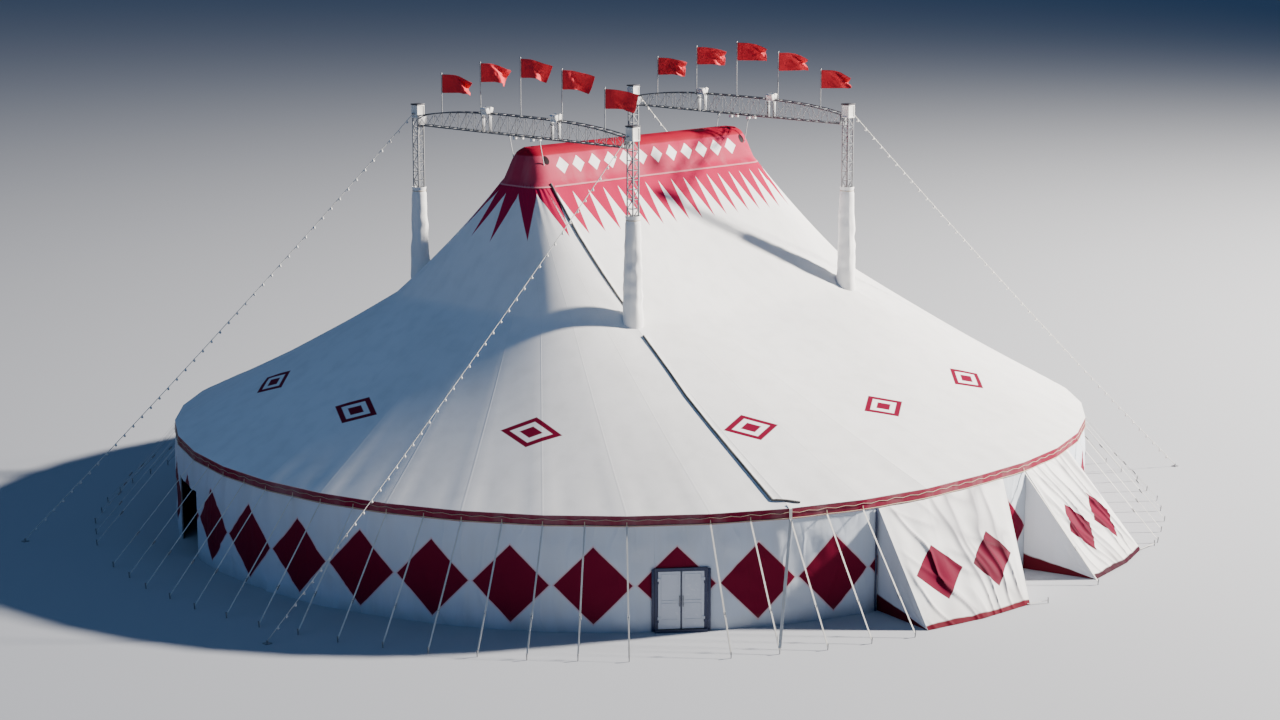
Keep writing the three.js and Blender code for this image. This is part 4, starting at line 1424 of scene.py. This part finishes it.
def ratchet():
    """The buckle on a strap: side plates, a drum and a folded handle."""
    plates = [block((0.006 * M, 0.05 * M, 0.19 * M), (side * 0.034 * M, 0.012 * M, 0), 0.0008, 1)
              for side in (-1, 1)]
    drum = cylinder(0.016 * M, 0.066 * M, turn=(0, math.pi / 2, 0))
    handle = block((0.05 * M, 0.012 * M, 0.12 * M), (0, 0.036 * M, 0.05 * M), 0.0008, 1)
    return join(plates + [drum, handle], "ratchet")


def stake():
    """A steel stake: a cylinder whose head is widened and whose rim is bevelled."""
    pin = cylinder(0.022 * M, 0.22 * M, (0, 0, 0.11 * M), 10)
    edit_faces(pin, lambda: extrude(0, 0, -0.004 * M),
               lambda: bpy.ops.transform.resize(value=(1.45, 1.45, 1)),
               lambda: extrude(0, 0, 0.012 * M), wanted=lambda face: face.normal.z > 0.9)
    return soften(pin, 0.0012, 1)


print("straps, ropes and fittings ready")

# %% Side guys
guy_quarters = {"front_left": -9.25, "front_right": 0.75, "back_right": 10.75, "back_left": 20.75}
DOOR_GAP = 0.34   # no guys this near to the door's middle, in bays
no_guys = [(DOOR_STATION - DOOR_GAP, DOOR_STATION + DOOR_GAP), (27, 28),
           porches["porch_left"]["top"], porches["porch_right"]["top"]]
for quarter, first in guy_quarters.items():
    node = f"side_guys_{quarter}"
    bands, buckles, pins, ties = [], [], [], []
    halves = [math.ceil(first * 2) / 2 + i / 2 for i in range(BAYS // 2)]
    for station in halves:
        if any(low < station < high for low, high in no_guys):
            continue
        start = eave_point(station, EAVE_RADIUS + GAP + 0.5 * ROPE, GUY_HEIGHT - 0.5 * ROPE)
        end = eave_point(station, STAKE_RADIUS, 0.13 * M)
        hand = start.lerp(end, 0.70)
        up = Vector((0, 0, 0.004 * M))
        bands += [strap_matrix(start, end, 0.06 * M, 0.004 * M),
                  strap_matrix(hand + 3 * up, end + up, 0.046 * M, 0.004 * M)]
        buckle = strap_matrix(start, end, 1, 1)
        buckle.translation = hand
        buckles.append(buckle @ Matrix.Diagonal((1, -1, 1 / (end - start).length, 1)))
        out = (end - start).xy.normalized()
        lean = Matrix.Rotation(math.radians(6), 4, Vector((-out.y, out.x, 0)))
        pins.append(moved(end.x, end.y, 0.0013) @ lean)
        ties.append(strap_matrix(eave_point(station, TIE_RADIUS, GUY_HEIGHT + 0.12 * M),
                                 eave_point(station, TIE_RADIUS + ROPE, GUY_HEIGHT - ROPE * 1.2),
                                 0.03 * M, 0.006 * M))
    dress(straps(node + "_straps", bands), strap_white, nodes=[node])
    dress(straps(node + "_ties", ties), rope_tan)
    dress(copies(ratchet(), buckles, node + "_ratchets"), galvanised)
    dress(copies(stake(), pins, node + "_stakes"), galvanised)
    dress(eave_rope(node + "_rope", first, GUY_HEIGHT, ROPE / 2 * 0.9), rope_tan)
    dress(eave_rope(node + "_lacing", first, LACING_HEIGHT, 0.009 * M, 0.05 * M), rope_tan)

for node, form in porches.items():
    start = eave_point(form["tie"][0], EAVE_RADIUS + PORCH_DEPTH, 0.05 * M)
    end = eave_point(form["tie"][1], STAKE_RADIUS, 0.11 * M)
    dress(straps(node + "_tie", [strap_matrix(start, end, 0.05 * M, 0.004 * M)]), strap_white)
    dress(copies(stake(), [moved(end.x, end.y, 0)], node + "_peg"), galvanised)

# %% [markdown]
# ## Main stays
# From every mast head a wire stay runs over the canopy to a ground anchor, and a string of pale
# lamps hangs along it. The wire is a curve tube; one lamp is modelled and copied along it.

# %% Stays
stay_anchors = {"front_left": (-23, -5.2), "back_left": (-21.5, 12.5), "back_right": (23, 5.2),
                "front_right": (21.5, -12.5)}
STAY_TOP = 16.3 * M
STAY_SAG = 0.22 * M
LAMPS = 44


def stay_point(start, end, part):
    point = start.lerp(end, part)
    point.z -= STAY_SAG * 4 * part * (1 - part)
    return point


def lamp():
    """A bulb under a short holder."""
    bulb = ball(0.05 * M, (0, 0, -0.075 * M), 8, 6)
    return join([bulb, cylinder(0.024 * M, 0.06 * M, (0, 0, -0.012 * M))], "lamp")


for name, (x, y) in mast_places.items():
    node = f"main_stay_{name}"
    anchor = Vector((*[v * M for v in stay_anchors[name]], 0.084 * M))
    start = Vector((x + math.copysign(0.27 * M, anchor.x - x), y, STAY_TOP))
    wire = [stay_point(start, anchor, i / 40) for i in range(41)]
    dress(curve_tube(node + "_wire", wire, 0.014 * M), strap_white, nodes=[node])
    lamps = [moved(*stay_point(start, anchor, (i + 0.7) / (LAMPS + 1))) for i in range(LAMPS)]
    dress(copies(lamp(), lamps, node + "_lamps"), head_paint)
    lug = block((0.08 * M, 0.08 * M, 0.08 * M), start, 0.003)
    plate = block((0.24 * M, 0.24 * M, 0.03 * M), (anchor.x, anchor.y, 0.015 * M))
    pin = cylinder(0.03 * M, 0.12 * M, (anchor.x, anchor.y, 0.06 * M), 12)
    dress(join([lug, plate, pin], node + "_anchor"), galvanised)

# %% [markdown]
# ## Door
# Two white leaves open outwards from a navy steel frame. The CAD frame and leaves stay, in paint.
# Each leaf gets what a hand meets: raised beads round two panels, an edge seal and a pull bar.
# They ride on their leaf, so they swing with it.

# %% Door leaves and their fittings
door_from, door_to = eave_point(-5, WALL_OUTER), eave_point(-4, WALL_OUTER)
door_turn = math.atan2(door_to.y - door_from.y, door_to.x - door_from.x)
door_middle = door_from.lerp(door_to, DOOR_STATION - math.floor(DOOR_STATION))
door_place = moved(*door_middle) @ Matrix.Rotation(door_turn, 4, "Z")
LEAF_FACE = -0.08 * M
LEAF_IN, LEAF_OUT = 0.003, 0.82 * M - 0.006
LEAF_LOW, LEAF_HIGH = 0.1 * M + 0.006, 2.19 * M - 0.006
BEAD = 0.012


def leaf_beads(side):
    """Thin raised strips round an upper and a lower panel."""
    edge = 0.10 * M
    low_x, high_x = LEAF_IN + edge, LEAF_OUT - edge
    parts = []
    for bottom, top in ((LEAF_LOW + 0.34 * M, LEAF_LOW + 0.92 * M),
                        (LEAF_LOW + 1.02 * M, LEAF_HIGH - edge)):
        for z in (bottom, top):
            parts.append(block((high_x - low_x, 0.006, BEAD),
                               (side * (low_x + high_x) / 2, LEAF_FACE - 0.003, z), 0.0015))
        for x in (low_x, high_x):
            parts.append(block((BEAD, 0.006, top - bottom + BEAD),
                               (side * x, LEAF_FACE - 0.003, (top + bottom) / 2), 0.0015))
    return join(parts, "beads")


def pull_bar(side):
    """A bar on two feet."""
    x, y = side * (LEAF_IN + 0.055 * M), LEAF_FACE - 0.045 * M
    spans = [(Vector((x, y, 0.92 * M)), Vector((x, y, 1.32 * M)))]
    spans += [(Vector((x, LEAF_FACE, z)), Vector((x, y, z))) for z in (0.96 * M, 1.28 * M)]
    return rods("pull", spans, 0.011 * M, 10)


def at_door(piece, finish, name, body="tent"):
    """Carries a piece from beside the origin to the door, and dresses it."""
    piece.data.transform(door_place)
    dress(piece, finish, name, body)


for name, side in (("left", -1), ("right", 1)):
    body = f"door_{name}"
    seal_place = (side * (LEAF_IN + 0.0065), LEAF_FACE - 0.003, (LEAF_HIGH + LEAF_LOW) / 2)
    at_door(leaf_beads(side), leaf_paint, body + "_beads", body)
    at_door(pull_bar(side), dark_steel, body + "_pull", body)
    at_door(block((0.010, 0.006, LEAF_HIGH - LEAF_LOW), seal_place, 0.001), navy_paint,
            body + "_edge_seal", body)
for side in (-1, 1):
    strip = block((0.10 * M, 0.03 * M, 2.24 * M), (side * 0.99 * M, -0.06 * M, 1.15 * M))
    at_door(strip, navy_paint, f"door_cover_strip_{side + 1}")
tread = block((1.62 * M, 0.36 * M, 0.004), (0, 0, 0.1 * M + 0.002), 0.001)
at_door(tread, dark_steel, "door_tread")

# %% [markdown]
# ## Finishes for the CAD parts that stay
# Rails, poles, the hung cupola frame and the door keep their CAD shapes. Each gets the metal or
# paint of the real one in its own material slot.

# %% CAD nodes in their finish
kept_nodes = {"side_poles_front": galvanised, "side_poles_back": galvanised,
              "cupola_frame": galvanised, "door_frame": navy_paint,
              "door_leaf_left": leaf_paint, "door_leaf_right": leaf_paint}
for node, finish in kept_nodes.items():
    for slot_of_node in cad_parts[node].material_slots:
        slot_of_node.material = finish
print("kept from CAD:", sorted(kept_nodes))

# %% [markdown]
# ## Laced seams
# The canopy is two halves, laced together along two long seams that pass the front left and the
# back right mast. A flap covers the lacing and shows as a raised strip with a dark edge. At the
# eave the lacing rope turns aside and is tied off, and a broad strap runs over the band.

# %% Seam flaps and lacing
FLAP = 0.22 * M
# the lacing strays to the right near the cupola and to the left at the eave: run, bays aside
STRAYS = [(0, 0.18), (0.35, 0.12), (0.85, 0.12), (1.1, 0.0), (1.4, -0.12), (2.0, -0.12)]
FLAP_ROWS = 90


def seam_station(station, run):
    (start, first), (end, last) = next(p for p in zip(STRAYS, STRAYS[1:]) if run <= p[1][0])
    return station + first + (last - first) * (run - start) / (end - start)


def flap_spot(station, runs, across, up):
    """Where the flap lies on the canopy, as a station and a run."""
    run = runs[1] + (runs[0] - runs[1]) * up
    bay_here = (canopy_point(station + 0.5, run) - canopy_point(station, run)).length * 2
    return seam_station(station, run) + across * FLAP / bay_here, run


def flap_place(station, runs, across, up):
    """A strip beside the seam whose free edge is raised and a little wavy."""
    here, run = flap_spot(station, runs, across, up)
    wave = waver(run * 14, across, station)
    lift = 0.003 + (0.030 * (1 - across) ** 2 + 0.012 * wave * (1 - across)) * M
    return on_canopy(here, run, lift)


def lacing_path(station, first_run, last_run):
    """Along the seam just under the flap's edge; below, it turns aside along the eave."""
    runs = [first_run + (last_run - first_run) * i / FLAP_ROWS for i in range(FLAP_ROWS + 1)]
    points = [on_canopy(seam_station(station, run) - 0.02, run, 0.010) for run in runs]
    if last_run > 1.5:
        points += [on_canopy(station - 0.14 + 0.32 * i / 6, last_run + 0.004 * i, 0.016)
                   for i in range(1, 7)]
    return points


for title, station in (("front", SEAMS[0]), ("back", SEAMS[2])):
    for part, runs in (("high", (0.015, 0.93)), ("low", (1.075, 1.955))):
        name = f"seam_{title}_{part}"
        spot = lambda share: flap_spot(station, runs, *share)
        maps = canopy_maps(spot)
        maps["cloth"] = lambda share, middle: (spot(share)[0] + 0.2, spot(share)[1])
        flap = cloth_grid(name + "_flap", 5, FLAP_ROWS,
                          lambda u, v: flap_place(station, runs, u, v), maps)
        length = (canopy_point(station, runs[0]) - canopy_point(station, runs[1])).length
        finish_sheet(flap, canopy_cloth, CLOTH_THICK, (FLAP, length * 1.03),
                     ["canopy_left_cloth"], [])
        dress(curve_tube(name + "_lacing", lacing_path(station, *runs), 0.042 * M), rope_dark)
    # from the end of the lacing a broad strap runs over the band to the stake beside it
    bends = [on_canopy(station, 1.985, 0.012),
             eave_point(station, EAVE_RADIUS + 0.016, CLOTH_TOP - 0.004),
             eave_point(station, EAVE_RADIUS + 0.020, GUY_HEIGHT - 0.05 * M),
             eave_point(station - 0.5, STAKE_RADIUS, 0.20 * M)]
    places = [strap_matrix(start, end, 0.11 * M, 0.006 * M) for start, end in zip(bends, bends[1:])]
    dress(straps(f"seam_{title}_strap", places), strap_white)

# a dark pole stands at the edge of the wall beside the left porch
edge_foot = eave_point(-1.79, WALL_OUTER + 0.028, 0.002)
edge_top = Vector((edge_foot.x, edge_foot.y, BAND_BOTTOM - 0.004))
dress(rods("wall_edge_pole", [(edge_foot, edge_top)], 0.035 * M, 10), navy_paint)
